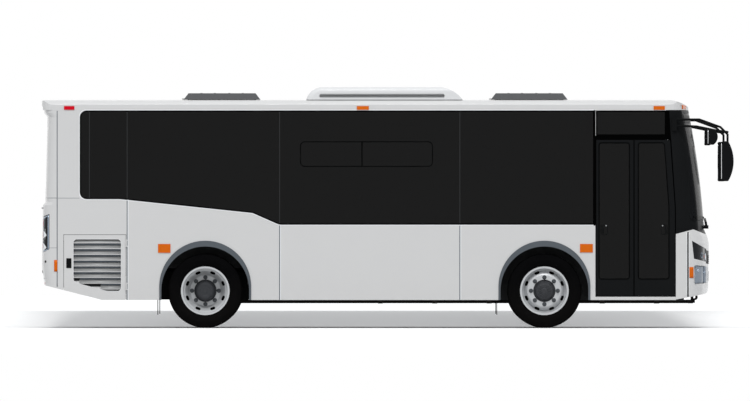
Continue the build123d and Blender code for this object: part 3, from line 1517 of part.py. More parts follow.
for lid_name, hatch_x in zip(("rear", "front"), HATCH_X):
    hinge_x = hatch_x - HATCH_LENGTH / 2 - 14
    hinges = cross_hinges(hinge_moving(24), hinge_x, LID_HINGE_Z, LID_HINGE_Y, -90)
    save(f"roof_hatch_{lid_name}", fuse(build_hatch_lid(hatch_x), hinges))
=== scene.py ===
"""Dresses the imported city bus: finishes, tread, nuts, seals, lamps and trim, in the photo's view.

Everything is in the frame of the part: metres, +X to the front of the bus, +Y to its left side and
+Z up, with the origin on the ground in the middle. Lengths in this script are millimetres unless a
name says otherwise, and one function, metres(), converts them.
"""

import json
import logging
import math
from dataclasses import dataclass
from enum import Enum

import bmesh
import bpy
import numpy as np
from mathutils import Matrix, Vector
from mathutils.bvhtree import BVHTree

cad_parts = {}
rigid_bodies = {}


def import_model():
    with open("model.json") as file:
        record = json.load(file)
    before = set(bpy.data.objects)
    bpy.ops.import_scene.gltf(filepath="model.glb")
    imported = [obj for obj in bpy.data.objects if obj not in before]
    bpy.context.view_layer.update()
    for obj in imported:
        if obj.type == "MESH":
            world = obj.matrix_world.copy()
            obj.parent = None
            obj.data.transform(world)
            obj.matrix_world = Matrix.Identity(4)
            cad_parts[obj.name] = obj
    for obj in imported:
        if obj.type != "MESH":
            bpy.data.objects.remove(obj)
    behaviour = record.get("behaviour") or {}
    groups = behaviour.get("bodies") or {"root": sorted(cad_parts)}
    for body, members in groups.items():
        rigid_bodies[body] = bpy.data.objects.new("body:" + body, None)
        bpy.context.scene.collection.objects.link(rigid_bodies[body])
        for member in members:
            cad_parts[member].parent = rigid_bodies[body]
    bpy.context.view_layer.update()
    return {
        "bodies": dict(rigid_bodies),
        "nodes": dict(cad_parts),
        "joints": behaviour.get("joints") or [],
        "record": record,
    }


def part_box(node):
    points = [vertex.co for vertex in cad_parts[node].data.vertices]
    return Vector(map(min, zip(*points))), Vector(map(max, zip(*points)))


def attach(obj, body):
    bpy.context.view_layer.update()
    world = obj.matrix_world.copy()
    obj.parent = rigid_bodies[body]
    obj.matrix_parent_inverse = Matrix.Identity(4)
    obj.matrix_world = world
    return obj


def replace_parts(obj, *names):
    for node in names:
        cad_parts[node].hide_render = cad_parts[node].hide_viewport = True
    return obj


log = logging.getLogger("city_bus")

MM = 0.001

# The photo: millimetres in a pixel, its size, and the pixel of the part's origin
PIXEL = 12.5
PHOTO_SIZE = (750, 401)
PHOTO_ORIGIN = (386.9, 328.0)

# Y of the right side's panels
SIDE_Y = -1220.0

# Where sight starts, clear of the bus, for trim that is laid on a skin
SIDE_SIGHT = -1600.0
END_SIGHT = 4900.0
TOP_SIGHT = 3200.0

# Meshes: welding distance in metres, and the angle from which an edge is drawn sharp
WELD = 2e-6
SHARP_ANGLE = math.radians(32)

WHITE = (1.0, 1.0, 1.0, 1.0)
MIRROR_Y = np.diag([1.0, -1.0, 1.0])


# Units and colour


def metres(values: float | tuple | np.ndarray) -> np.ndarray:
    """Converts millimetres to metres.

    Args:
        values: One length or an array of lengths in millimetres.

    Returns:
        The same in metres, as a float or an array.
    """
    return np.asarray(values, float) * MM


def linear(colour: str) -> tuple[float, float, float, float]:
    """Converts an sRGB hex colour to the linear values that shaders take.

    Args:
        colour: Six hex digits, with or without a leading #.

    Returns:
        Red, green, blue and an alpha of 1.
    """
    digits = colour.lstrip("#")
    parts = np.array([int(digits[i : i + 2], 16) for i in (0, 2, 4)]) / 255
    curve = np.where(parts <= 0.04045, parts / 12.92, ((parts + 0.055) / 1.055) ** 2.4)
    return (*(float(value) for value in curve), 1.0)


# Shader nodes


def fill(tree: bpy.types.NodeTree, node: bpy.types.Node, inputs: dict) -> None:
    """Sets or links a node's inputs.

    Args:
        tree: The tree that holds the node.
        node: The node.
        inputs: For each socket name or number a value, or an output socket to link.
    """
    for key, value in inputs.items():
        if isinstance(value, bpy.types.NodeSocket):
            tree.links.new(value, node.inputs[key])
        else:
            node.inputs[key].default_value = value


def add_node(
    tree: bpy.types.NodeTree, kind: str, inputs: dict, out: int | str = 0, **settings
) -> bpy.types.NodeSocket:
    """Adds one shader node with its settings and links.

    Args:
        tree: The node tree that gets the node.
        kind: The node's type, such as ShaderNodeTexNoise.
        inputs: For each socket name or number a value, or an output socket to link.
        out: Name or number of the output that is wanted.
        **settings: The node's own settings, such as operation.

    Returns:
        The wanted output socket.
    """
    node = tree.nodes.new(kind)
    for name, value in settings.items():
        setattr(node, name, value)
    fill(tree, node, inputs)
    return node.outputs[out]


@dataclass(frozen=True)
class Finish:
    """A surface finish: an even base with fine grain, soft mottling and road dirt low down."""

    name: str
    colour: str
    roughness: float
    metallic: float = 0.0
    coat: float = 0.0
    mottle: float = 0.04
    mottle_size: float = 400.0
    grain: float = 0.0
    grain_size: float = 4.0
    dirt: float = 0.0
    dirt_colour: str = "#6f675c"
    dirt_top: float = 700.0
    alpha: float = 1.0
    ior: float = 1.5

    def build(self) -> bpy.types.Material:
        """Makes the material, or returns the one made before.

        Returns:
            The material.
        """
        known = bpy.data.materials.get(self.name)
        if known:
            return known
        material = bpy.data.materials.new(self.name)
        material.use_nodes = True
        tree = material.node_tree
        place = add_node(tree, "ShaderNodeTexCoord", {}, "Object")
        cloud = {"Vector": place, "Scale": 1 / (self.mottle_size * MM), "Detail": 3.0}
        fleck = cloud | {"Scale": 6 / (self.mottle_size * MM)}
        flecks = add_node(tree, "ShaderNodeTexNoise", fleck)
        spread = {"Value": flecks, "To Min": self.roughness * 0.85, "To Max": self.roughness * 1.15}
        sockets = {
            "Base Color": linear(self.colour),
            "Roughness": add_node(tree, "ShaderNodeMapRange", spread),
            "Metallic": self.metallic,
            "Coat Weight": self.coat,
            "Coat Roughness": 0.05,
            "Alpha": self.alpha,
            "IOR": self.ior,
        }
        if self.mottle:
            base = sockets["Base Color"]
            shade = (*(channel * (1 - 4 * self.mottle) for channel in base[:3]), 1.0)
            mix = {0: add_node(tree, "ShaderNodeTexNoise", cloud), 6: base, 7: shade}
            sockets["Base Color"] = add_node(tree, "ShaderNodeMix", mix, 2, data_type="RGBA")
        if self.dirt:
            up = add_node(tree, "ShaderNodeSeparateXYZ", {"Vector": place}, "Z")
            low, high = 250 * MM, self.dirt_top * MM
            fade = {"Value": up, "From Min": low, "From Max": high, "To Min": 1.0, "To Max": 0.0}
            smear = {"Vector": place, "Scale": 1 / (90 * MM), "Detail": 6.0}
            patchy = {
                0: add_node(tree, "ShaderNodeMapRange", fade),
                1: add_node(tree, "ShaderNodeTexNoise", smear),
            }
            thin = {0: add_node(tree, "ShaderNodeMath", patchy, operation="MULTIPLY"), 1: self.dirt}
            film = add_node(tree, "ShaderNodeMath", thin, operation="MULTIPLY")
            mix = {0: film, 6: sockets["Base Color"], 7: linear(self.dirt_colour)}
            sockets["Base Color"] = add_node(tree, "ShaderNodeMix", mix, 2, data_type="RGBA")
        if self.grain:
            grit = {"Vector": place, "Scale": 1 / (self.grain_size * MM), "Detail": 2.0}
            bump = {
                "Height": add_node(tree, "ShaderNodeTexNoise", grit), "Distance": self.grain * MM,
                "Strength": 1.0,
            }
            sockets["Normal"] = add_node(tree, "ShaderNodeBump", bump)
        fill(tree, tree.nodes["Principled BSDF"], sockets)
        return material


class Finishes(Enum):
    """The bus's finishes, named for the real materials, besides painted shade on the louvres and
    painted highlights.
    """

    # sprayed acrylic enamel: an even gloss with a faint orange peel, and road film low down
    SIDE_PAINT = Finish(
        "white_side_enamel", "#cdcdcd", 0.34, coat=0.3, mottle=0.006, dirt=0.05, grain=0.04,
        grain_size=25,
    )
    # the same enamel on moulded glass fibre, a little duller in the weather
    ROOF_PAINT = Finish(
        "white_roof_gelcoat", "#d0d0d0", 0.45, coat=0.2, mottle=0.01, grain=0.06, grain_size=40
    )
    # painted shade: enamel made grey over the white slats to stand for the shade on them, with road
    # dirt low down
    LOUVRE_PAINTED_SHADE = Finish("grey_louvre_enamel", "#989999", 0.4, mottle=0.01, dirt=0.1)
    # gelcoat over glass fibre: a soft sheen with a coarse ripple
    COVER = Finish(
        "grey_cover_gelcoat", "#dadbdc", 0.5, coat=0.1, mottle=0.012, grain=0.08, grain_size=30
    )
    # gloss black on the pillars: deep, with little sheen under a flat light
    BLACK_PAINT = Finish("black_gloss_enamel", "#191a1b", 0.3, mottle=0.02, ior=1.05)
    # thick underbody paint: dull and gritty under the dust
    CHASSIS = Finish(
        "black_chassis_paint", "#0d0e0f", 0.72, mottle=0.08, dirt=0.2, grain=0.4, ior=1.15
    )
    # sand-cast iron: coarse grain, dull metal, dust in its pores
    CAST = Finish("cast_iron", "#2a2b2d", 0.62, 0.5, mottle=0.1, dirt=0.4, grain=0.6, grain_size=3)
    # painted casting with metal showing through: dark and fine-grained
    HUB = Finish("dark_hub_casting", "#303236", 0.52, 0.4, mottle=0.08, grain=0.4, grain_size=3)
    # aluminium powder paint on pressed steel
    RIM = Finish("silver_rim_paint", "#c3c5c7", 0.4, 0.15, mottle=0.03, grain=0.08, dirt=0.04)
    # zinc plating: a soft bright metal
    STEEL = Finish("zinc_plated_steel", "#a7a9ab", 0.34, 0.9, mottle=0.05)
    # phosphated steel: dark, with a faint metal sheen
    NUT = Finish("phosphated_steel_nut", "#474b4f", 0.45, 0.4, mottle=0.05)
    # carbon black rubber: nearly no gloss, with dust in the grain
    TYRE = Finish(
        "carbon_black_tyre_rubber", "#0c0c0d", 0.85, mottle=0.08, mottle_size=120, grain=0.25,
        grain_size=2, dirt=0.02, ior=1.04,
    )
    # extruded seal rubber: an even matt black
    RUBBER = Finish(
        "black_epdm_rubber", "#0a0b0b", 0.7, mottle=0.05, grain=0.1, grain_size=2, ior=1.03
    )
    # thin soft rubber: matt black
    BLADE = Finish("wiper_rubber", "#0a0a0b", 0.6, mottle=0.04, ior=1.05)
    # sealant: matt, and blue-grey from its filler; the same colour also serves as painted shade
    # behind the louvre slats
    SEAM = Finish("blue_grey_sealant", "#5b636c", 0.6, mottle=0.03)
    # painted highlight: near-white strips standing for light caught beside joints, round the glass
    # band and on the tail lamps
    PAINTED_HIGHLIGHT = Finish("light_panel_edge", "#e9ebed", 0.4, mottle=0.01)
    # mastic between panes: dark grey and matt
    DIVIDER = Finish("grey_glazing_joint", "#2f3031", 0.5, mottle=0.03, ior=1.2)
    # moulded polyurethane: blue-grey satin with road dust
    ARCH_TRIM = Finish("grey_arch_moulding", "#575d63", 0.5, mottle=0.04, dirt=0.15, ior=1.3)
    # grained black moulding, whose fine texture breaks up the sheen
    PLASTIC = Finish(
        "black_moulded_plastic", "#111213", 0.5, mottle=0.04, grain=0.15, grain_size=1.5, ior=1.12
    )
    # dark moulding in the weather: smooth satin
    HATCH = Finish("dark_hatch_moulding", "#35373a", 0.48, mottle=0.04, grain=0.1)
    # safety sheet: matt, with a fine grit
    FLOOR = Finish("dark_floor_sheet", "#1d1f21", 0.68, mottle=0.06, grain=0.1, grain_size=2)
    # moulded shell: satin with a fine grain
    SEAT = Finish(
        "blue_moulded_seat_shell", "#27375a", 0.42, mottle=0.05, grain=0.2, grain_size=1.5
    )
    # woven seat cloth with a short pile
    CLOTH = Finish(
        "woven_seat_cloth", "#2a2d36", 0.95, mottle=0.12, mottle_size=14, grain=0.7, grain_size=1.2
    )
    # powder coat: bright and smooth
    RAIL = Finish("yellow_rail_powder_coat", "#d79a1c", 0.32, mottle=0.02)
    # oily casting: dark metal, coarse and dusty
    ENGINE = Finish("engine_casting", "#303236", 0.6, 0.5, mottle=0.1, dirt=0.4, grain=0.8)
    # privacy glass: nearly black and very smooth, with a trace of the cabin
    GLASS = Finish("dark_tinted_glass", "#101010", 0.08, mottle=0.0, alpha=0.97, ior=1.2)
    # lighter tint, which lets a little more of the cabin show
    SCREEN = Finish("tinted_windscreen_glass", "#1a1b1d", 0.14, mottle=0.0, alpha=0.92, ior=1.03)
    # polycarbonate: a cool, faintly milky lens
    CLEAR = Finish(
        "clear_polycarbonate_lens", "#929ca8", 0.12, mottle=0.03, mottle_size=60, alpha=0.85,
        ior=1.3,
    )
    # vacuum-plated rim: a cool bright metal
    CHROME = Finish("bright_lamp_rim", "#9aa6b4", 0.2, 0.8, mottle=0.04)
    # dark housing behind a smoked cover: glossy black
    LAMP_WELL = Finish("dark_lamp_housing", "#131518", 0.25, mottle=0.02, ior=1.25)
    # aluminised bowl: mirror-like
    REFLECTOR = Finish("lamp_reflector", "#c3c7cb", 0.14, 1.0, mottle=0.0)
    # dyed acrylic, here and in the next: a deep colour under gloss
    RED = Finish("red_acrylic_lens", "#d0001e", 0.2, mottle=0.02, mottle_size=20, ior=1.2)
    AMBER = Finish("amber_acrylic_lens", "#d8660c", 0.2, mottle=0.03, mottle_size=20, ior=1.2)
    # silvered glass: an even, sharp reflection
    MIRROR = Finish("mirror_glass", "#dfe3e6", 0.03, 1.0, mottle=0.0)
    # matt grille moulding: dark with soft patches
    GRILLE = Finish("dark_grille", "#151618", 0.6, mottle=0.06, ior=1.2)
    # ceramic print behind glass: flat and very black
    FRIT = Finish("black_glass_border", "#020202", 0.3, mottle=0.0, ior=1.05)
    # blank plate: plain enamel
    PLATE = Finish("blank_plate", "#d9dadb", 0.4, mottle=0.01)


# Each finish and how the names of its CAD nodes start
NODES_OF = {
    Finishes.CHASSIS: "chassis_frame",
    Finishes.FLOOR: "cabin_floor",
    Finishes.SIDE_PAINT: "side_wall front_mask rear_shell engine_hatch engine_side_door",
    Finishes.ROOF_PAINT: "roof_shell",
    Finishes.COVER: "roof_air_conditioner",
    Finishes.HATCH: "roof_hatch",
    Finishes.BLACK_PAINT: "front_frame door_leaf wipers",
    Finishes.SCREEN: "windscreen",
    Finishes.GLASS: "side_glass rear_window door_glass",
    Finishes.LAMP_WELL: "headlamps tail_lamps",
    Finishes.RED: "red_lamps",
    Finishes.AMBER: "amber_lamps",
    Finishes.CAST: "front_axle rear_axle knuckle",
    Finishes.RUBBER: "air_springs steering_wheel mud_flaps",
    Finishes.ENGINE: "engine_block",
    Finishes.PLASTIC: "door_header driver_seat dashboard mirrors",
    Finishes.STEEL: "door_arm tie_rod",
    Finishes.SEAT: "seats",
    Finishes.RAIL: "grab_rails",
    Finishes.ARCH_TRIM: "wheel_arch_trims",
    Finishes.TYRE: "tyre",
    Finishes.RIM: "rim",
    Finishes.HUB: "hub",
}
NODE_FINISH = {start: finish for finish, starts in NODES_OF.items() for start in starts.split()}


# Surfaces


@dataclass
class Surface:
    """Vertices in millimetres and the faces that join them."""

    points: np.ndarray
    faces: np.ndarray

    def moved(self, x: float = 0.0, y: float = 0.0, z: float = 0.0) -> "Surface":
        """The surface at another place.

        Args:
            x: Shift along the bus.
            y: Shift across it.
            z: Shift upwards.

        Returns:
            The shifted surface.
        """
        return Surface(self.points + np.array([x, y, z]), self.faces)

    def turned(self, matrix: np.ndarray) -> "Surface":
        """The surface turned or mirrored about the origin.

        Args:
            matrix: A 3 by 3 matrix.

        Returns:
            The turned surface, with its faces flipped if the matrix mirrors.
        """
        faces = self.faces if np.linalg.det(matrix) > 0 else self.faces[:, ::-1]
        return Surface(self.points @ matrix.T, faces)


def joined(parts: list[Surface]) -> Surface:
    """Joins surfaces into one.

    Args:
        parts: The surfaces.

    Returns:
        One surface with all of them.
    """
    starts = np.cumsum([0] + [len(part.points) for part in parts[:-1]])
    faces = np.concatenate([part.faces + start for part, start in zip(parts, starts)])
    return Surface(np.concatenate([part.points for part in parts]), faces)


def sheet_of(grid: np.ndarray, wrap_u: bool = False, wrap_v: bool = False) -> Surface:
    """Joins a grid of points into quads.

    Args:
        grid: Points in an array of u by v by 3.
        wrap_u: Whether the last row joins the first.
        wrap_v: Whether the last column joins the first.

    Returns:
        The surface.
    """
    rows, columns = grid.shape[:2]
    u = np.arange(rows if wrap_u else rows - 1)[:, None]
    v = np.arange(columns if wrap_v else columns - 1)[None, :]
    a = u * columns + v
    b = ((u + 1) % rows) * columns + v
    c = ((u + 1) % rows) * columns + (v + 1) % columns
    d = u * columns + (v + 1) % columns
    faces = np.stack([a, b, c, d], axis=-1).reshape(-1, 4)
    return Surface(grid.reshape(-1, 3), faces)


def lathe(profile: np.ndarray, steps: int, phase: float = 0.0, ring: bool = False) -> Surface:
    """Turns a profile about the Y axis.

    Args:
        profile: Radius and Y of each point along the profile; it starts and ends at radius 0 or
        joins itself.
        steps: Facets round the axis.
        phase: Angle of the first facet's edge in radians.
        ring: Whether the profile joins its own start.

    Returns:
        The turned surface: x = r cos a, z = r sin a, y unchanged.
    """
    profile = np.asarray(profile, float)
    angle = phase + np.linspace(0, 2 * np.pi, steps, endpoint=False)[:, None]
    radius, along = profile[None, :, 0], profile[None, :, 1]
    grid = np.stack([radius * np.cos(angle), along + 0 * angle, radius * np.sin(angle)], axis=-1)
    return sheet_of(grid, wrap_u=True, wrap_v=ring)


def tube(path: np.ndarray, radius: float, steps: int = 10, closed: bool = False) -> Surface:
    """A round bar along a path.

    Args:
        path: Points of the path.
        radius: Radius of the bar.
        steps: Facets round the bar.
        closed: Whether the path joins its own start.

    Returns:
        The surface: a ring of points square to the path at each point, drawn in to a point at free
        ends.
    """
    path = np.asarray(path, float)
    ahead = np.roll(path, -1, axis=0) - path
    behind = path - np.roll(path, 1, axis=0)
    if not closed:
        ahead[-1], behind[0] = behind[-1], ahead[0]
    tangent = ahead / np.linalg.norm(ahead, axis=1, keepdims=True)
    tangent = tangent + behind / np.linalg.norm(behind, axis=1, keepdims=True)
    tangent /= np.linalg.norm(tangent, axis=1, keepdims=True)
    helper = np.where(np.abs(tangent[:, 1:2]) > 0.9, [[0.0, 0.0, 1.0]], [[0.0, 1.0, 0.0]])
    side = np.cross(helper, tangent)
    side /= np.linalg.norm(side, axis=1, keepdims=True)
    up = np.cross(tangent, side)
    if not closed:
        path, side, up = (np.concatenate([item[:1], item, item[-1:]]) for item in (path, side, up))
    size = np.full((len(path), 1, 1), radius)
    if not closed:
        size[0] = size[-1] = 0.0
    angle = np.linspace(0, 2 * np.pi, steps, endpoint=False)[None, :, None]
    grid = path[:, None] + size * (np.cos(angle) * side[:, None] + np.sin(angle) * up[:, None])
    return sheet_of(grid, wrap_u=closed, wrap_v=True)


def box(x: tuple, y: tuple, z: tuple, bevel: float = 1.0) -> Surface:
    """A block with all edges bevelled.

    Args:
        x: Low and high X.
        y: Low and high Y.
        z: Low and high Z.
        bevel: Width of the bevels.

    Returns:
        The block: rings of eight points from one end in Y to the other, drawn in to a point at both
        ends.
    """
    half = np.array([(x[1] - x[0]) / 2, (z[1] - z[0]) / 2])
    cut = min(bevel, 0.45 * float(min(half)), 0.45 * (y[1] - y[0]))
    corner = np.array([(1, 1 - cut / half[1]), (1 - cut / half[0], 1)])
    signs = np.array([(1, 1), (-1, 1), (-1, -1), (1, -1)])
    ring = np.concatenate(
        [(corner if index % 2 == 0 else corner[::-1]) * sign for index, sign in enumerate(signs)]
    )
    sizes = np.array([0.0, 1.0, 1.0, 1.0, 1.0, 0.0])
    drawn_in = np.array([0.0, cut, 0.0, 0.0, cut, 0.0])
    across = np.array([y[0], y[0], y[0] + cut, y[1] - cut, y[1], y[1]])
    flat = ring[None] * (half * sizes[:, None] - drawn_in[:, None])[:, None, :]
    grid = np.stack([flat[..., 0], np.repeat(across[:, None], 8, axis=1), flat[..., 1]], axis=-1)
    return sheet_of(grid, wrap_v=True).moved((x[0] + x[1]) / 2, 0, (z[0] + z[1]) / 2)


def rounded_loop(x: tuple, z: tuple, radius: float, steps: int = 6) -> np.ndarray:
    """A rectangle with rounded corners in X and Z.

    Args:
        x: Low and high X.
        z: Low and high Z.
        radius: Corner radius.
        steps: Points on each corner.

    Returns:
        Its points, in order.
    """
    quarter = np.linspace(0, np.pi / 2, steps)
    corners = (
        (x[1], z[1], 1, 1, 0), (x[0], z[1], -1, 1, 1), (x[0], z[0], -1, -1, 2),
        (x[1], z[0], 1, -1, 3),
    )
    points = []
    for cx, cz, sx, sz, turn in corners:
        angle = quarter + turn * np.pi / 2
        points.append(
            np.stack(
                [
                    cx - sx * radius + radius * np.cos(angle),
                    cz - sz * radius + radius * np.sin(angle),
                ],
                axis=1,
            )
        )
    return np.concatenate(points)


def at_depth(loop: np.ndarray, y: float) -> np.ndarray:
    """Lays a loop drawn in X and Z at one Y.

    Args:
        loop: Points in X and Z.
        y: The Y of all points.

    Returns:
        Points in X, Y and Z.
    """
    loop = np.asarray(loop, float)
    return np.stack([loop[:, 0], np.full(len(loop), y), loop[:, 1]], axis=1)


def both(*parts: Surface) -> Surface:
    """Surfaces and their mirror images on the other side of the bus.

    Args:
        *parts: The surfaces on one side.

    Returns:
        All as one.
    """
    side = joined(list(parts))
    return joined([side, side.turned(MIRROR_Y)])


def make(
    name: str, surface: Surface, finish: Finishes, body: str, wall: float = 0.0
) -> bpy.types.Object:
    """Puts a surface into the scene.

    Args:
        name: The object's name.
        surface: Its surface in millimetres.
        finish: Its finish.
        body: The CAD body that it rides on.
        wall: Thickness that an open sheet gets behind it, or 0 for a closed shell.

    Returns:
        The object.
    """
    mesh = bpy.data.meshes.new(name)
    mesh.from_pydata(metres(surface.points).tolist(), [], surface.faces.tolist())
    work = bmesh.new()
    work.from_mesh(mesh)
    bmesh.ops.remove_doubles(work, verts=work.verts, dist=WELD)
    bmesh.ops.dissolve_degenerate(work, edges=work.edges, dist=WELD / 2)
    if not wall:
        bmesh.ops.recalc_face_normals(work, faces=work.faces)
    work.to_mesh(mesh)
    work.free()
    mesh.materials.append(finish.value.build())
    mesh.polygons.foreach_set("use_smooth", np.ones(len(mesh.polygons), bool))
    mesh.set_sharp_from_angle(angle=SHARP_ANGLE)
    made = bpy.data.objects.new(name, mesh)
    bpy.context.scene.collection.objects.link(made)
    if wall:
        thicken = made.modifiers.new("wall", "SOLIDIFY")
        thicken.thickness = wall * MM
        thicken.offset = -1.0
    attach(made, body)
    log.info("%s: %d faces", name, len(mesh.polygons))
    return made


class View(Enum):
    """Where a patch is seen from, with the way of sight. The left side mirrors the right one."""

    SIDE = (0.0, 1.0, 0.0)
    NOSE = (-1.0, 0.0, 0.0)
    TAIL = (1.0, 0.0, 0.0)


class Skin:
    """The outer surface of a CAD node, on which trim is laid."""

    def __init__(self, frame: dict, node: str):
        """Reads the node's surface.

        Args:
            node: The node's name.
        """
        mesh = frame["nodes"][node].data
        points = np.empty(len(mesh.vertices) * 3, np.float32)
        mesh.vertices.foreach_get("co", points)
        triangles = [tuple(face.vertices) for face in mesh.polygons]
        self.tree = BVHTree.FromPolygons(points.reshape(-1, 3).tolist(), triangles)

    def hit(self, place: np.ndarray, way: np.ndarray) -> tuple[np.ndarray, np.ndarray]:
        """Where a line of sight meets the surface.

        Args:
            place: A point in millimetres outside the surface.
            way: Direction of sight.

        Returns:
            The point met, or the nearest edge where nothing is met, and the normal there that faces
            back.
        """
        found, normal, _, _ = self.tree.ray_cast(Vector(place * MM), Vector(way))
        if found is None:
            found, normal, _, _ = self.tree.find_nearest(Vector((place + 400.0 * way) * MM))
        normal = np.array(normal)
        return np.array(found) / MM, normal if normal @ way < 0 else -normal

    def draped(self, grid: np.ndarray, way: tuple, lift: float) -> Surface:
        """A sheet laid on the surface.

        Each grid point is carried along the line of sight to the surface, then lifted along its
        normal.

        Args:
            grid: Points outside the surface in an array of u by v by 3.
            way: Direction of sight.
            lift: Distance kept from the surface.

        Returns:
            The laid sheet.
        """
        way = np.array(way, float)
        laid = [self.hit(place, way) for place in grid.reshape(-1, 3)]
        points = np.array([place + lift * normal for place, normal in laid])
        return sheet_of(points.reshape(grid.shape))

    def patch(self, view: View, across: tuple, z: tuple, steps: tuple, lift: float) -> Surface:
        """A four-cornered patch, seen square from one side of the bus.

        Args:
            view: Where it is seen from.
            across: Low and high X on the side, or low and high Y on the ends.
            z: Low and high Z, each one number or one for both ends of the patch.
            steps: Points across and upwards.
            lift: Distance kept from the surface.

        Returns:
            The patch.
        """
        u, v = np.meshgrid(*(np.linspace(0, 1, count) for count in steps), indexing="ij")
        u = 1 - u if view is View.TAIL else u
        low, high = (np.broadcast_to(np.asarray(value, float), 2) for value in z)
        floor, top = low[0] + (low[1] - low[0]) * u, high[0] + (high[1] - high[0]) * u
        along = across[0] + (across[1] - across[0]) * u
        start = SIDE_SIGHT if view is View.SIDE else -view.value[0] * END_SIGHT
        flat = [along, np.full_like(u, start)]
        flat = flat if view is View.SIDE else flat[::-1]
        return self.draped(np.stack([*flat, floor + (top - floor) * v], axis=-1), view.value, lift)

    def boss(self, place: tuple, way: tuple, shape: Surface, lift: float = 0.0) -> Surface:
        """A small turned shape set square on the surface.

        Args:
            place: A point outside the surface.
            way: Direction of sight to the surface.
            shape: The shape, standing on the origin with its outer side towards plus Y.
            lift: Distance kept from the surface.

        Returns:
            The shape where it stands.
        """
        point, normal = self.hit(np.array(place, float), np.array(way, float))
        turn = np.array(Vector((0, 1, 0)).rotation_difference(Vector(normal)).to_matrix())
        return Surface(shape.points @ turn.T + point + lift * normal, shape.faces)


def outline_ribbon(loop: np.ndarray, width: float, y: float, thick: float) -> Surface:
    """A flat closed band that follows a loop on its inner side.

    Each point's inner mate lies along the mean of its two neighbouring edges' normals; the four
    corners
    of the section run round the loop.

    Args:
        loop: Points in X and Z, anticlockwise seen from the left side of the bus.
        width: Width of the band.
        y: Y of its outer face.
        thick: Thickness towards the middle of the bus.

    Returns:
        The closed band.
    """
    loop = np.asarray(loop, float)
    edge = np.roll(loop, -1, axis=0) - loop
    edge /= np.linalg.norm(edge, axis=1, keepdims=True)
    normal = np.stack([-edge[:, 1], edge[:, 0]], axis=1)
    mean = normal + np.roll(normal, 1, axis=0)
    mean /= (mean * normal).sum(axis=1, keepdims=True)
    area = np.sum(loop[:, 0] * np.roll(loop[:, 1], -1) - np.roll(loop[:, 0], -1) * loop[:, 1])
    inner = loop + mean * width * np.sign(area)
    back = y + thick if y < 0 else y - thick
    rings = [at_depth(loop, y), at_depth(inner, y), at_depth(inner, back), at_depth(loop, back)]
    return sheet_of(np.stack(rings, axis=1), wrap_u=True, wrap_v=True)


def node_box(node: str) -> tuple[np.ndarray, np.ndarray]:
    """Where a CAD node is.

    Args:
        node: The node's name.

    Returns:
        Its lowest and highest corner in millimetres.
    """
    low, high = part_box(node)
    return np.array(low) / MM, np.array(high) / MM


def rounded_polygon(points: tuple, radii: tuple, steps: int = 7) -> np.ndarray:
    """A polygon with its corners rounded.

    Each corner becomes a parabola, (1-t)^2 a + 2t(1-t) b + t^2 c, between the points one radius
    before and
    after it.

    Args:
        points: Corners in X and Z.
        radii: Distance from each corner at which its rounding starts.
        steps: Points on each corner.

    Returns:
        Its points, in order.
    """
    points = np.asarray(points, float)
    before = np.roll(points, 1, axis=0) - points
    after = np.roll(points, -1, axis=0) - points
    reach = np.asarray(radii, float)[:, None]
    start = points + reach * before / np.linalg.norm(before, axis=1, keepdims=True)
    end = points + reach * after / np.linalg.norm(after, axis=1, keepdims=True)
    t = np.linspace(0, 1, steps)[None, :, None]
    curve = (1 - t) ** 2 * start[:, None] + 2 * t * (1 - t) * points[:, None] + t**2 * end[:, None]
    loops = [corner if size > 0 else corner[:1] for corner, size in zip(curve, radii)]
    return np.concatenate(loops)


def plate(corners: np.ndarray, y: float, thick: float) -> Surface:
    """A flat plate with a polygon outline, standing in the XZ plane.

    The outline is repeated at both faces and each face is closed to its middle.

    Args:
        corners: Outline points in X and Z.
        y: Y of the outer face.
        thick: Thickness towards plus Y.

    Returns:
        The plate.
    """
    middle = np.broadcast_to(corners.mean(axis=0), corners.shape)
    rows = [(middle, y), (corners, y), (corners, y + thick), (middle, y + thick)]
    grid = np.stack([np.insert(outline, 1, depth, axis=1) for outline, depth in rows], axis=1)
    return sheet_of(grid, wrap_u=True)


@dataclass
class Assembly:
    """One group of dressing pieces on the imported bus.
    """

    frame: dict

    def skin(self, node: str) -> Skin:
        """The surface of a CAD node, to lay trim on.

        Args:
            node: The node's name.

        Returns:
            The surface.
        """
        return Skin(self.frame, node)

    def build(self) -> None:
        """Makes all the pieces of the group."""
        raise NotImplementedError


def domed_lens(radius: float, crown: float, steps: int) -> Surface:
    """A lamp's lens, standing on the origin with its outer side towards plus Y.

    Its face is the dome r = R sin(pi t / 2), y = 1 + crown R cos(pi t / 2), for t from 0 to 1.

    Args:
        radius: Its radius, R.
        crown: Height of the dome as a share of the radius.
        steps: Facets round it.

    Returns:
        The lens, closed behind.
    """
    turn = np.linspace(0, np.pi / 2, 8)
    dome = np.stack([radius * np.sin(turn), 1 + crown * radius * np.cos(turn)], axis=1)
    return lathe(np.concatenate([dome, [(radius, -1), (0, -1)]]), steps)


# Wheels


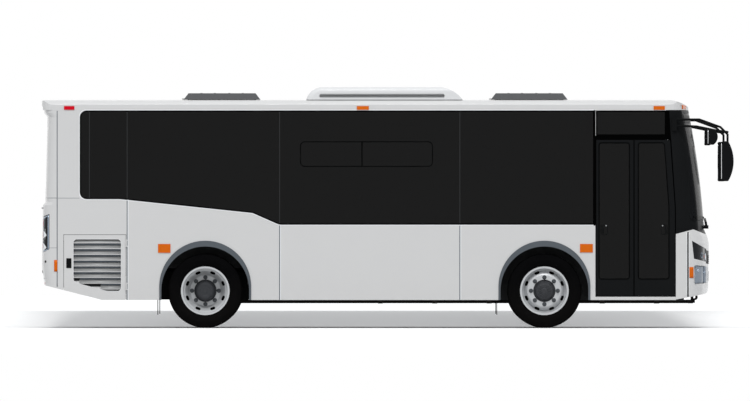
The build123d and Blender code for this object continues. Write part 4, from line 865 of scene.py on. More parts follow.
@dataclass
class Tyre:
    """One road tyre: a turned profile with round grooves, and cross grooves on the shoulders."""

    radius: float
    width: float = 255.0
    bead_radius: float = 288.3
    bead_half: float = 95.5
    groove_depth: float = 11.0
    groove_half: float = 5.0
    groove_places: tuple = (-56.0, -19.0, 19.0, 56.0)
    lugs: int = 56
    steps: int = 224

    def profile(self) -> np.ndarray:
        """The closed section: one bead, its wall, the tread, the other wall and bead.

        Returns:
            Radius and Y of each point, symmetric about the middle.
        """
        half = self.width / 2
        wall_t = np.linspace(0, 1, 14)
        wall_r = self.bead_radius + 16 + wall_t * (self.radius - 26 - self.bead_radius - 16)
        bulge = np.sin(np.pi * (0.08 + 0.72 * wall_t)) ** 0.9
        ridge = 1.5 * (np.abs(wall_t - 0.62) < 0.09) + 1.2 * (np.abs(wall_t - 0.2) < 0.05)
        wall_y = self.bead_half - 5 + (half - self.bead_half) * bulge + ridge
        crown_y = np.linspace(-1, 1, 49) * (half - 38)
        crown_r = self.radius - 3.0 * (crown_y / (half - 38)) ** 2 - 0.4
        bead = np.array(
            [[self.bead_radius, self.bead_half - 14], [self.bead_radius + 6, self.bead_half]]
        )
        shoulder = np.array([[self.radius - 12, half - 22.0], [self.radius - 5, half - 31.0]])
        left = np.concatenate([bead, np.stack([wall_r, wall_y], axis=1), shoulder])
        middle = np.stack([crown_r, crown_y], axis=1)[::-1]
        return np.concatenate([left, middle, left[::-1] * np.array([1, -1])])

    def surface(self, y: float) -> Surface:
        """The tyre with its tread, centred on the axle line.

        The radius is the profile's less the tread pattern: round grooves at fixed places across the
        tread, and cross grooves wherever a wave round the tyre, cos(lugs a + y / 14), is near its
        crest.

        Args:
            y: Y of the tyre's middle.

        Returns:
            The surface.
        """
        profile = self.profile()
        angle = np.linspace(0, 2 * np.pi, self.steps, endpoint=False)[:, None]
        radius = np.repeat(profile[None, :, 0], self.steps, axis=0)
        across = np.repeat(profile[None, :, 1], self.steps, axis=0)
        tread = radius > self.radius - 14
        places = np.array(self.groove_places)[:, None, None]
        groove = np.clip(1.4 - np.abs(across - places) / self.groove_half, 0, 1).max(axis=0)
        wave = np.cos(angle * self.lugs + across / 14.0)
        shoulder = np.clip((np.abs(across) - 60) / 6, 0, 1) * np.clip((wave - 0.45) / 0.25, 0, 1)
        middle = np.clip(1 - np.abs(across) / 70, 0, 1) * np.clip((wave - 0.86) / 0.1, 0, 1) * 0.5
        cut = np.maximum(np.maximum(groove, shoulder * 0.8), middle)
        radius = radius - tread * cut * self.groove_depth
        grid = np.stack([radius * np.cos(angle), across + y, radius * np.sin(angle)], axis=-1)
        return sheet_of(grid, wrap_u=True, wrap_v=True)


def ring_of(one: Surface, radius: float, count: int) -> Surface:
    """Repeats a shape round the Y axis.

    Args:
        one: The shape at the origin.
        radius: Distance of each copy from the axis.
        count: Number of copies.

    Returns:
        All copies: the shape shifted by the radius, then turned by a whole share of a turn each.
    """
    angle = np.arange(count) * 2 * np.pi / count
    points = (one.points + np.array([radius, 0, 0]))[None]
    cosine, sine = np.cos(angle)[:, None], np.sin(angle)[:, None]
    x = points[..., 0] * cosine - points[..., 2] * sine
    z = points[..., 0] * sine + points[..., 2] * cosine
    y = np.broadcast_to(points[..., 1], x.shape)
    faces = one.faces[None] + (np.arange(count) * len(one.points))[:, None, None]
    return Surface(np.stack([x, y, z], axis=-1).reshape(-1, 3), faces.reshape(-1, 4))


@dataclass
class Wheels(Assembly):
    """The dressing of all wheels: tread, wheel nuts, brake drums, and ribbed or bolted caps."""

    nut_circle: float = 167.5
    nut_count: int = 8
    nut_across: float = 33.0
    nut_height: float = 24.0
    front_reach: float = 36.0
    rear_seat: float = 132.85
    cap_radius: float = 96.0
    cap_ribs: int = 14
    cap_bolts: int = 8
    drum: tuple = (90.0, 262.0)
    drum_half: float = 15.0
    drum_inset: float = 25.0

    def build(self) -> None:
        """Makes the tyres, nuts and caps of the four wheels."""
        for place in ("front_left", "front_right"):
            self.dress("tyre_" + place, "hub_" + place, "wheel_" + place, 1)
        for place in ("rear_left", "rear_right"):
            self.dress("tyres_" + place, "hub_" + place, "wheels_" + place, 2)

    def nuts(self) -> Surface:
        """The ring of wheel nuts, each a hexagon on a washer with the end of its stud.

        Returns:
            All the nuts, standing on the XZ plane.
        """
        r, h = self.nut_across / math.sqrt(3), self.nut_height
        nut = lathe([(0, 4 + h), (r * 0.86, 4 + h), (r, h), (r, 3), (0, 3)], 6)
        washer = lathe([(0, 4), (r + 6, 4), (r + 8, 2), (r + 8, 0), (0, 0)], 20)
        stud = lathe([(0, 13 + h), (9, 13 + h), (10.5, 10 + h), (10.5, 3 + h), (0, 3 + h)], 14)
        return ring_of(joined([nut, washer, stud]), self.nut_circle, self.nut_count)

    def ribbed_cap(self) -> Surface:
        """The front hub's cap.

        Its face is a low dome, 9 (1 - (r/R)^2), with ribs where cos(ribs a) is high, between 40%
        and 90% of R.

        Returns:
            The cap, standing on the XZ plane.
        """
        r = np.linspace(0, 1, 26)[None, :]
        a = np.linspace(0, 2 * np.pi, 168, endpoint=False)[:, None]
        window = np.clip((r - 0.4) / 0.06, 0, 1) * np.clip((0.92 - r) / 0.06, 0, 1)
        rib = np.clip((np.cos(a * self.cap_ribs) - 0.1) / 0.4, 0, 1) * window
        height = 3 + 9 * (1 - r**2) + 5 * rib + 2 * (r < 0.34)
        height = np.concatenate([height, np.full_like(height[:, :2], -1.0)], axis=1)
        reach = np.concatenate([r, [[1.0, 0.0]]], axis=1) * self.cap_radius
        grid = np.stack([reach * np.cos(a), height, reach * np.sin(a)], axis=-1)
        return sheet_of(grid, wrap_u=True)

    def bolted_cap(self) -> Surface:
        """The rear hub's flat cap with a raised boss and a ring of bolts.

        Returns:
            The cap, standing on the XZ plane.
        """
        r = self.cap_radius
        disc = lathe(
            [
                (0, 9), (r * 0.3, 9), (r * 0.34, 5), (r * 0.6, 4), (r * 0.64, 7), (r * 0.96, 7),
                (r, 4), (r, -1), (0, -1),
            ],
            48,
        )
        bolt = lathe([(0, 14), (8, 14), (9.5, 12), (9.5, 6), (0, 6)], 6)
        return joined([disc, ring_of(bolt, r * 0.8, self.cap_bolts)])

    def dress(self, tyre_node: str, hub_node: str, body: str, tyres: int) -> None:
        """Dresses one wheel.

        Args:
            tyre_node: CAD node of its tyre or tyres.
            hub_node: CAD node of its hub.
            body: Body that turns.
            tyres: How many tyres sit side by side.
        """
        low, high = node_box(tyre_node)
        axle = {"x": (low[0] + high[0]) / 2, "z": (low[2] + high[2]) / 2}
        side = 1 if low[1] > 0 else -1
        turn = np.diag([1.0, side, 1.0])
        tyre = Tyre(radius=(high[2] - low[2]) / 2)
        middles = [(high[1] if side > 0 else low[1]) - side * tyre.width / 2]
        if tyres == 2:
            middles.append((low[1] if side > 0 else high[1]) + side * tyre.width / 2)
        skin = joined([tyre.surface(y) for y in middles]).moved(**axle)
        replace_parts(make(tyre_node + "_tread", skin, Finishes.TYRE, body), tyre_node)
        hub_low, hub_high = node_box(hub_node)
        outer = hub_high[1] if side > 0 else hub_low[1]
        seat = outer - side * self.front_reach if tyres == 1 else middles[0] - side * self.rear_seat
        nuts = self.nuts().turned(turn).moved(y=seat, **axle)
        make(tyre_node + "_nuts", nuts, Finishes.NUT, body)
        cap = self.ribbed_cap() if tyres == 1 else self.bolted_cap()
        inner = low[1] if side > 0 else high[1]
        (bore, rim), half = self.drum, self.drum_half
        drum = lathe([(bore, -half), (rim, -half), (rim, half), (bore, half)], 64, ring=True)
        make(
            hub_node + "_drum", drum.moved(y=inner + side * self.drum_inset, **axle),
            Finishes.CHASSIS, body,
        )
        make(
            hub_node + "_cap", cap.turned(turn).moved(y=outer, **axle), Finishes.HUB, body,
        )


# Side walls


@dataclass
class SideTrim(Assembly):
    """Joints, borders and small fittings of the flat sides."""

    glass_y: float = 1218.0
    axles: tuple = (1969.0, -2271.0)
    housing_x: tuple = ((-566.0, -390.0), (390.0, 566.0))
    housing_y: tuple = (-603.0, -597.0)
    housing_z: tuple = (352.0, 700.0)
    band_rear: float = -3840.0
    band_top: float = 2720.0
    belt: tuple = (
        (-3840.0, 1610.0), (-3337.0, 1610.0), (-1681.0, 1437.0), (-1346.0, 1290.0), (3500.0, 1290.0)
    )
    band_front_right: float = 2594.0
    band_front_left: float = 3492.0
    header: tuple = ((2613.0, 3490.0), (2404.0, 2718.0))
    joints_x: tuple = (-3719.0, -3247.0, -1341.0, 912.0)
    seam_x: tuple = (-3247.0, -1341.0, 912.0)
    seam_top: tuple = (1605.0, 1290.0, 1290.0)
    border: float = 17.0
    vent_x: tuple = (-1080.0, 569.0)
    vent_z: tuple = (2020.0, 2328.0)
    vent_bar_x: float = -311.0
    slats: int = 9
    slat_foot: float = 484.0
    slat_pitch: float = 71.8
    gap_shade_y: tuple = (-1186.0, -1182.0)
    louvre: tuple = ((-3917, 1108), (-3325, 1108), (-3325, 462), (-3501, 462), (-3917, 575))

    def build(self) -> None:
        """Makes the trim of both sides."""
        self.seams()
        self.borders()
        self.entrance_surround()
        self.housing_ends()
        self.vent()
        self.engine_door()

    def strip(self, x: tuple, z: tuple, proud: float, depth: float = 3.0) -> Surface:
        """A flat bar on the right side.

        Args:
            x: Low and high X.
            z: Low and high Z.
            proud: How far it stands out of the side.
            depth: How far it reaches into the side.

        Returns:
            The bar.
        """
        return box(x, (SIDE_Y - proud, SIDE_Y + depth), z, 0.4)

    def seams(self) -> None:
        """Fills the three panel joints with sealant, with a painted highlight strip beside each."""
        low, _ = node_box("side_wall_right")
        dark, light = [], []
        for x, top in zip(self.seam_x, self.seam_top):
            dark.append(self.strip((x - 5.9, x + 5.9), (low[2] + 2, top), -0.8))
            light.append(self.strip((x + 6.2, x + 16.0), (low[2] + 2, top), 0.5))
        make("panel_joint_sealant", both(*dark), Finishes.SEAM, "body")
        # painted highlight: a pale strip beside each joint stands for light caught by the panel
        # edge
        make("panel_edge_strips", both(*light), Finishes.PAINTED_HIGHLIGHT, "body")

    def borders(self) -> None:
        """The printed black border of the glazed band, and the joints between its panes."""
        belt = np.array(self.belt)
        made, outer = {}, {}
        for side, front in (("right", self.band_front_right), ("left", self.band_front_left)):
            corners = [
                (self.band_rear, self.band_top), *self.belt[:-1], (front, self.belt[-1][1]),
                (front, self.band_top),
            ]
            loop = rounded_polygon(corners, (90, 90, 30, 30, 30, 0, 0))
            made[side] = outline_ribbon(loop, self.border, -self.glass_y - 1.2, 1.4)
            outer[side] = outline_ribbon(loop, -9.0, SIDE_Y - 0.7, 1.4)
        (low, high), (foot, top) = self.header
        head = outline_ribbon(
            rounded_loop((low, high), (foot, top), 8), self.border, -self.glass_y - 1.2, 1.4
        )
        border = joined([made["right"], head, made["left"].turned(MIRROR_Y)])
        make("glass_band_border", border, Finishes.FRIT, "body")
        # painted highlight: a pale ribbon just outside the glazed band's edge
        edges = joined([outer["right"], outer["left"].turned(MIRROR_Y)])
        make("glass_band_edges", edges, Finishes.PAINTED_HIGHLIGHT, "body")
        joints = []
        for x in self.joints_x:
            foot = float(np.interp(x, belt[:, 0], belt[:, 1])) + self.border
            joints.append(
                box(
                    (x - 4.5, x + 4.5), (-self.glass_y - 0.8, -self.glass_y + 3),
                    (foot, self.band_top - 17), 0.3,
                )
            )
        make("glazing_joints", both(*joints), Finishes.DIVIDER, "body")

    def housing_ends(self) -> None:
        """The splash plates inside both ends of each wheel housing, clear of the steered wheels."""
        plates = []
        for axle_x in self.axles:
            for start, end in self.housing_x:
                plates.append(
                    box((axle_x + start, axle_x + end), self.housing_y, self.housing_z, 0.8)
                )
        make("wheel_housing_plates", both(*plates), Finishes.PLASTIC, "body")

    def entrance_surround(self) -> None:
        """The black film on the panels round the entrance and its header pane."""
        y = (SIDE_Y - 1.8, SIDE_Y + 1.0)
        (low, high), (foot, top) = self.header
        post = box((self.band_front_right - 10, low - 6), y, (self.belt[-1][1] - 9, top + 6), 0.3)
        rail = box((low - 6, 3550.0), y, (foot - 46, foot), 0.3)
        pillar = [[(high, z), (front, z)] for z, front in ((foot, 3548.0), (top + 6, 3529.0))]
        corners = np.array([pillar[0][0], pillar[0][1], pillar[1][1], pillar[1][0]])
        film = joined([post, rail, plate(corners, y[0], 2.0)])
        make("entrance_surround", film, Finishes.FRIT, "body")

    def vent(self) -> None:
        """The sliding vent's frame and its middle bar on the second pane."""
        y = -self.glass_y + 1.0
        frame = tube(at_depth(rounded_loop(self.vent_x, self.vent_z, 55), y), 6.0, 8, closed=True)
        bar = box((self.vent_bar_x - 8, self.vent_bar_x + 8), (y - 4, y + 2), self.vent_z, 1.0)
        make("sliding_vent_frame", both(frame, bar), Finishes.RUBBER, "body")

    def engine_door(self) -> None:
        """The engine side door's louvre blades painted grey for shade, blue-grey plates painted as
        the shade between slats, pressed rim and flush latch.
        """
        low, high, foot_front, foot_x, foot_rear = self.louvre
        gap_shades, blades = [], []
        for row in range(self.slats):
            z = self.slat_foot + self.slat_pitch * row
            rear = float(np.interp(z, (foot_front[1], foot_rear[1]), (foot_x[0], low[0]))) + 2
            top = min(50.0, high[1] - 3 - z)
            outer, inner = SIDE_Y + 0.6, SIDE_Y + 0.6 + 0.6 * top
            face = [
                [(rear, outer, z), (rear, inner, z + top)],
                [(high[0] - 2, outer, z), (high[0] - 2, inner, z + top)],
            ]
            blades.append(sheet_of(np.array(face, float)))
            # painted shade: a blue-grey plate behind each gap between slats stands for the shade
            # seen there
            if row < self.slats - 1:
                gap_shades.append(box((rear + 6, high[0] - 2), self.gap_shade_y, (z + 34, z + 70), 0.5))
        body, slot = "engine_side_door", "white_paint"
        make("louvre_shutters", joined(gap_shades), Finishes.SEAM, body)
        # painted shade: the blades laid over the white slats are grey to stand for the shade on
        # them
        make("louvre_blades", joined(blades), Finishes.LOUVRE_PAINTED_SHADE, body, wall=2.0)
        rim = outline_ribbon(rounded_polygon(self.louvre, (45,) * 5), -7.0, SIDE_Y - 0.8, 2.0)
        make("louvre_rim", rim, Finishes.COVER, body)
        surround = outline_ribbon(
            rounded_loop((-4008, -3943), (748, 872), 8), 9.0, SIDE_Y - 3.0, 4.0
        )
        well = box((-4000, -3951), (SIDE_Y - 1.5, SIDE_Y + 2), (756, 864), 0.5)
        paddle = box((-3994, -3962), (SIDE_Y - 5.5, SIDE_Y - 1), (792, 856), 2.0)
        make(
            "engine_door_latch", joined([surround, well, paddle]), Finishes.PLASTIC, body,
        )


@dataclass
class DoorTrim(Assembly):
    """Seals, glass borders and grips of the two entrance leaves."""

    split_x: float = 3089.0
    leaf_z: tuple = (402.0, 2348.0)
    grips: tuple = ((2676.0, 2756.0), (3431.0, 3508.0))
    grip_z: tuple = (1169.0, 1291.0)

    def build(self) -> None:
        """Makes the trim of both leaves."""
        for name, way, grip in (("rear", -1, self.grips[0]), ("front", 1, self.grips[1])):
            body = "door_" + name
            edge = sorted((self.split_x + way * 0.6, self.split_x + way * 9.0))
            seal = box(tuple(edge), (SIDE_Y - 1, SIDE_Y + 30), self.leaf_z, 2.0)
            low, high = node_box("door_glass_" + name)
            corners = (
                (low[0], low[2]), (high[0], low[2]), (high[0], 1500.0), (high[0] - 57, high[2]),
                (low[0], high[2]),
            )
            radii = (40, 40, 0, 40, 40)
            if name == "rear":
                corners = (
                    (low[0], low[2]), (high[0], low[2]), (high[0], high[2]), (low[0], high[2])
                )
                radii = (40, 40, 40, 40)
            rim = outline_ribbon(rounded_polygon(corners, radii), 12.0, SIDE_Y + 0.6, 2.0)
            make(body + "_seals", joined([seal, rim]), Finishes.RUBBER, body)
            frame_loop = rounded_loop(grip, self.grip_z, 18)
            rim_tube = tube(at_depth(frame_loop, SIDE_Y + 1), 4.0, 8, closed=True)
            bar_x = (grip[0] + 14, grip[0] + 34) if way < 0 else (grip[1] - 34, grip[1] - 14)
            bar = box(
                bar_x, (SIDE_Y - 9, SIDE_Y + 1), (self.grip_z[0] + 12, self.grip_z[1] - 12), 3.0
            )
            make(body + "_grip", joined([rim_tube, bar]), Finishes.PLASTIC, body)
            stud_x = grip[1] - 16 if way < 0 else grip[0] + 16
            stud = lathe([(0, 6), (7, 5), (10, 1), (10, -2), (0, -2)], 20).turned(MIRROR_Y)
            make(
                body + "_lock_stud", stud.moved(stud_x, SIDE_Y, self.grip_z[1] - 12),
                Finishes.STEEL, body,
            )


# Nose and tail


@dataclass(frozen=True)
class Patch:
    """Thin trim of one name, laid in sheets on a CAD node's skin and thickened.

    Each sheet has its range across (X on the sides, Y on the ends), its range in Z, and its steps.
    """

    name: str
    finish: Finishes
    slot: str
    view: View
    lift: float
    wall: float
    sheets: tuple
    body: str = "body"

    def lay(self, skin: Skin) -> None:
        """Makes the piece, on both sides of the bus if it is seen from the side.

        Args:
            skin: The node's surface.
        """
        sheets = [skin.patch(self.view, *sheet, self.lift) for sheet in self.sheets]
        surface = both(*sheets) if self.view is View.SIDE else joined(sheets)
        make(self.name, surface, self.finish, self.body, self.wall)


@dataclass
class Patches(Assembly):
    """Joints, lenses, markers, panels and plates that lie on the curved ends, by CAD node."""

    on: tuple = (
        (
            "front_mask",
            Patch(
                "corner_lamp_lenses", Finishes.CLEAR, "clear_lens", View.SIDE, 13.0, 3.0,
                (((3846, 4006), ((554, 566), (782, 766)), (24, 10)),),
            ),
            Patch(
                "corner_markers", Finishes.AMBER, "amber_lens", View.SIDE, 6.0, 7.0,
                (((3781, 3831), (625, 762), (6, 6)),),
            ),
            Patch(
                "mask_joint", Finishes.RUBBER, "trim_grey", View.SIDE, 0.6, 0.6,
                (((3755, 3772), ((388, 390), (1196, 1202)), (3, 24)),),
            ),
            # painted highlight: pale strips on both sides of the mask joint
            Patch(
                "mask_joint_edges", Finishes.PAINTED_HIGHLIGHT, "white_paint", View.SIDE, 0.6, 0.6,
                tuple(((x, x + 8), (392, 1194), (2, 24)) for x in (3745, 3774)),
            ),
            Patch(
                "front_black_panel", Finishes.BLACK_PAINT, "black_paint", View.NOSE, 0.6, 1.0,
                (((-880, 880), (806, 965), (80, 6)),),
            ),
            Patch(
                "air_intake", Finishes.GRILLE, "grey_plastic", View.NOSE, 2.0, 1.0,
                (((-600, 600), (800, 905), (60, 4)),),
            ),
            Patch(
                "air_intake_bars", Finishes.PLASTIC, "grey_plastic", View.NOSE, 6.0, 6.0,
                tuple(((-604, 604), (z, z + 9), (60, 2)) for z in range(800, 897, 24)),
            ),
            Patch(
                "front_plate", Finishes.PLATE, "white_paint", View.NOSE, 4.0, 2.0,
                (((-260, 260), (590, 700), (20, 4)),),
            ),
            Patch(
                "front_plate_holder", Finishes.PLASTIC, "grey_plastic", View.NOSE, 2.0, 2.0,
                (((-268, 268), (582, 708), (20, 4)),),
            ),
        ),
        (
            "roof_shell",
            Patch(
                "roof_corner_markers", Finishes.AMBER, "amber_lens", View.SIDE, 8.0, 9.0,
                (((3690, 3742), (2736, 2786), (8, 4)),),
            ),
        ),
        (
            "windscreen",
            Patch(
                "windscreen_border", Finishes.FRIT, "black_paint", View.NOSE, 0.5, 0.4,
                (((-1130, 1130), (1340, 1400), (60, 3)), ((-1060, 1060), (2560, 2660), (60, 4))),
            ),
        ),
        (
            "tail_lamps",
            # painted highlight: near-white patches on the lamp's side stand for its glints
            Patch(
                "tail_lamp_side_cells", Finishes.PAINTED_HIGHLIGHT, "clear_lens", View.SIDE, 2.0, 2.0,
                (
                    ((-4304, -4258), ((1110, 1150), (1235, 1170)), (10, 8)),
                    ((-4304, -4258), ((955, 1000), (1075, 1010)), (10, 8)),
                ),
            ),
            Patch(
                "tail_lamp_frames", Finishes.CHROME, "clear_lens", View.SIDE, 2.6, 3.0,
                (
                    ((-4304, -4226), ((1360, 1402), (1374, 1416)), (10, 2)),
                    ((-4304, -4226), ((950, 980), (964, 994)), (10, 2)),
                    ((-4240, -4226), (985, 1408), (3, 10)),
                ),
            ),
        ),
        (
            "rear_shell",
            Patch(
                "rear_corner_joints", Finishes.SEAM, "trim_grey", View.SIDE, 0.5, 0.6,
                (
                    ((-4284, -4118), (1622, 1628), (16, 2)),
                    ((-4226, -4118), (1000, 1004), (10, 2)), ((-4127, -4117), (515, 2715), (2, 30)),
                ),
            ),
            Patch(
                "rear_corner_markers", Finishes.AMBER, "amber_lens", View.SIDE, 6.0, 7.0,
                (((-4160, -4119), (706, 850), (6, 6)),),
            ),
            Patch(
                "rear_bumper_joint", Finishes.SEAM, "trim_grey", View.TAIL, 0.5, 0.6,
                (((-1180, 1180), (618, 623), (80, 2)),),
            ),
            Patch(
                "rear_reflectors", Finishes.RED, "red_lens", View.TAIL, 3.0, 3.0,
                tuple(((y, y + 90), (530, 570), (8, 3)) for y in (-1000, 910)),
            ),
        ),
        (
            "engine_hatch",
            Patch(
                "rear_plate", Finishes.PLATE, "white_paint", View.TAIL, 1.5, 1.0,
                (((-260, 260), (690, 800), (20, 4)),), "engine_hatch",
            ),
        ),
    )

    def build(self) -> None:
        """Lays every patch on its node."""
        for node, *patches in self.on:
            skin = self.skin(node)
            for patch in patches:
                patch.lay(skin)


@dataclass
class Nose(Assembly):
    """Lamps and wiper blades of the front end."""

    side_lamps: tuple = ((3938.0, 908.0, 28.0, Finishes.LAMP_WELL),)
    front_lamps: tuple = (
        (795.0, 890.0, 42.0, Finishes.REFLECTOR), (925.0, 892.0, 26.0, Finishes.AMBER)
    )
    cells: tuple = ((3886.0, 716.0), (3972.0, 696.0))
    wiper_pivots: tuple = (-420.0, 460.0)

    def build(self) -> None:
        """Makes the dressing of the front end."""
        self.lamps(self.skin("headlamps"))
        self.corner_cells(self.skin("front_mask"))
        self.blades(self.skin("windscreen"))

    def lamps(self, skin: Skin) -> None:
        """Sets the round lamps into the dark lamp units: a bright bowl's rim and a domed lens each.

        Args:
            skin: The lamp units' surface.
        """
        rims, lenses = [], {Finishes.LAMP_WELL: [], Finishes.REFLECTOR: [], Finishes.AMBER: []}
        places = [((x, SIDE_SIGHT, z), (0, 1, 0), r, finish) for x, z, r, finish in self.side_lamps]
        places += [
            ((END_SIGHT, -y, z), (-1, 0, 0), r, finish) for y, z, r, finish in self.front_lamps
        ]
        for place, way, r, finish in places:
            rim = lathe([(r, -1), (r + 5, 0), (r + 6, 3), (r + 2, 5), (r - 2, 2)], 40, ring=True)
            rims.append(skin.boss(place, way, rim))
            lenses[finish].append(skin.boss(place, way, domed_lens(r, 0.22, 40)))
        make("headlamp_rims", both(*rims), Finishes.CHROME, "body")
        make(
            "headlamp_lenses", both(*lenses[Finishes.REFLECTOR]), Finishes.REFLECTOR, "body",
        )
        make(
            "cornering_lamp_lenses", both(*lenses[Finishes.LAMP_WELL]), Finishes.LAMP_WELL, "body",
        )
        make(
            "corner_indicator_lenses", both(*lenses[Finishes.AMBER]), Finishes.AMBER, "body",
        )

    def corner_cells(self, skin: Skin) -> None:
        """The bright round lamps behind the lens of each front corner.

        Args:
            skin: The mask's surface.
        """
        cell = lathe([(0, 4), (14, 4), (17, 0), (0, 0)], 24)
        cells = [skin.boss((x, SIDE_SIGHT, z), (0, 1, 0), cell, 13.0) for x, z in self.cells]
        make("corner_lamp_cells", both(*cells), Finishes.CHROME, "body")

    def blades(self, skin: Skin) -> None:
        """The wiper blades, which rest on the windscreen.

        Args:
            skin: The windscreen's surface.
        """
        blades = []
        for y in self.wiper_pivots:
            across = np.linspace(y + 120, y + 640, 24)
            start = np.stack(
                [np.full(24, END_SIGHT), across, 1375.0 + 14.0 * (across - y - 120) / 520], axis=-1
            )
            laid = np.array(
                [
                    point + 7.0 * normal
                    for point, normal in (skin.hit(p, np.array([-1.0, 0, 0])) for p in start)
                ]
            )
            blades.append(tube(laid, 6.0, 8))
        make("wiper_blades", joined(blades), Finishes.BLADE, "body")


@dataclass
class Tail(Assembly):
    """Lamps, plugs and latches of the rear end."""

    lamp_y: float = 1040.0
    lamp_cells: tuple = (
        (1310.0, 58.0, Finishes.RED), (1165.0, 58.0, Finishes.AMBER), (1030.0, 50.0, Finishes.RED)
    )
    plug: tuple = (-4268.0, SIDE_SIGHT, 830.0)
    latches: tuple = (-700.0, 700.0)

    def build(self) -> None:
        """Makes the dressing of the rear end."""
        self.lamps(self.skin("tail_lamps"))
        self.fittings(self.skin("rear_shell"), self.skin("engine_hatch"))

    def lamps(self, skin: Skin) -> None:
        """Round lamps on the rear face.

        Args:
            skin: The lamp columns' surface.
        """
        made = {Finishes.RED: [], Finishes.AMBER: []}
        rims = []
        for z, r, finish in self.lamp_cells:
            place, way = (-END_SIGHT, -self.lamp_y, z), (1, 0, 0)
            made[finish].append(skin.boss(place, way, domed_lens(r, 0.14, 44)))
            rims.append(
                skin.boss(
                    place, way, lathe([(r, -1), (r + 6, 0), (r + 7, 4), (r, 6)], 44, ring=True)
                )
            )
        make("tail_lamp_red", both(*made[Finishes.RED]), Finishes.RED, "body")
        make("tail_lamp_amber", both(*made[Finishes.AMBER]), Finishes.AMBER, "body")
        make("tail_lamp_rims", both(*rims), Finishes.CHROME, "body")

    def fittings(self, shell: Skin, hatch: Skin) -> None:
        """The belt joint behind the side glass, the corner plugs and the engine hatch's latches.

        Args:
            shell: The rear shell's surface.
            hatch: The engine hatch's surface.
        """
        belt = both(box((-4112, -3842), (-1220.8, -1217), (1621, 1626), 0.3))
        make("rear_belt_joint", belt, Finishes.SEAM, "body")
        plug = lathe([(0, 1), (14, 1), (16, 0), (0, 0)], 24)
        plugs = both(shell.boss(self.plug, (0, 1, 0), plug, 0.3))
        make("rear_corner_plugs", plugs, Finishes.PLASTIC, "body")
        latch = lathe([(0, 6), (16, 6), (20, 3), (20, -1), (0, -1)], 24)
        latches = [hatch.boss((-END_SIGHT, y, 700.0), (1, 0, 0), latch) for y in self.latches]
        make(
            "engine_hatch_latches", joined(latches), Finishes.PLASTIC, "engine_hatch",
        )


# Roof, mirrors and cabin


@dataclass
class RoofTrim(Assembly):
    """The air conditioner's slot grille and fan guards, and the ribs on the hatch lids."""

    slot_x: tuple = (-840.0, 718.0)
    slot_z: tuple = (2884.0, 2926.0)
    cover_y: float = 750.0
    fans: tuple = (-520.0, 0.0, 460.0)
    fan_wires: tuple = (60, 100, 140, 180)
    fan_z: float = 3010.0
    lids: tuple = (("rear", -2069.0), ("front", 1787.0))

    def build(self) -> None:
        """Makes the roof's trim."""
        y = self.cover_y - 20.0
        backs = both(box(self.slot_x, (-y - 1, -y + 3), self.slot_z, 0.5))
        make("air_conditioner_slot_mesh", backs, Finishes.COVER, "body")
        bars = [box(self.slot_x, (-y - 10, -y), (z, z + 4), 0.8) for z in (2893.0, 2903.0, 2913.0)]
        make("air_conditioner_slot_bars", both(*bars), Finishes.HATCH, "body")
        rings = []
        for x in self.fans:
            for r in self.fan_wires:
                rings.append(self.flat_ring(x, r))
        make("air_conditioner_fan_guards", joined(rings), Finishes.HATCH, "body")
        for name, x in self.lids:
            skin = self.skin("roof_hatch_" + name)
            ribs = []
            for offset in (-260.0, -90.0, 90.0, 260.0):
                u, v = np.meshgrid(
                    np.linspace(offset - 12, offset + 12, 3), np.linspace(-270, 270, 12),
                    indexing="ij",
                )
                grid = np.stack([x + u, v, np.full_like(u, TOP_SIGHT)], axis=-1)
                ribs.append(skin.draped(grid, (0, 0, -1), 3.0))
            make(
                f"roof_hatch_{name}_ribs", joined(ribs), Finishes.HATCH, "roof_hatch_" + name,
                wall=4.0,
            )

    def flat_ring(self, x: float, radius: float) -> Surface:
        """One wire ring of a fan guard, lying on the cover.

        Args:
            x: X of the fan's middle.
            radius: Radius of the wire's line.

        Returns:
            The ring.
        """
        a = np.linspace(0, 2 * np.pi, 48, endpoint=False)
        path = np.stack(
            [x + radius * np.cos(a), radius * np.sin(a), np.full_like(a, self.fan_z)], axis=1
        )
        return tube(path, 3.0, 6, closed=True)


@dataclass
class MirrorTrim(Assembly):
    """The glasses of the four mirror heads."""

    main: tuple = (4181.0, (1246.0, 1414.0), (1862.0, 2308.0))
    wide: tuple = (4013.0, (1244.0, 1416.0), (2306.0, 2474.0))

    def build(self) -> None:
        """Makes the mirror glasses."""
        panes = []
        for x, y, z in (self.main, self.wide):
            flat = rounded_loop(y, z, 22)
            faces = [
                np.stack([np.full(len(flat), x - dx), flat[:, 0], flat[:, 1]], axis=1)
                for dx in (-1.0, 1.5)
            ]
            centre = np.broadcast_to(faces[1].mean(axis=0), faces[1].shape)
            back = np.broadcast_to(faces[0].mean(axis=0), faces[0].shape)
            panes.append(
                sheet_of(np.stack([back, faces[0], faces[1], centre], axis=1), wrap_u=True)
            )
        make("mirror_glasses", both(*panes), Finishes.MIRROR, "body")


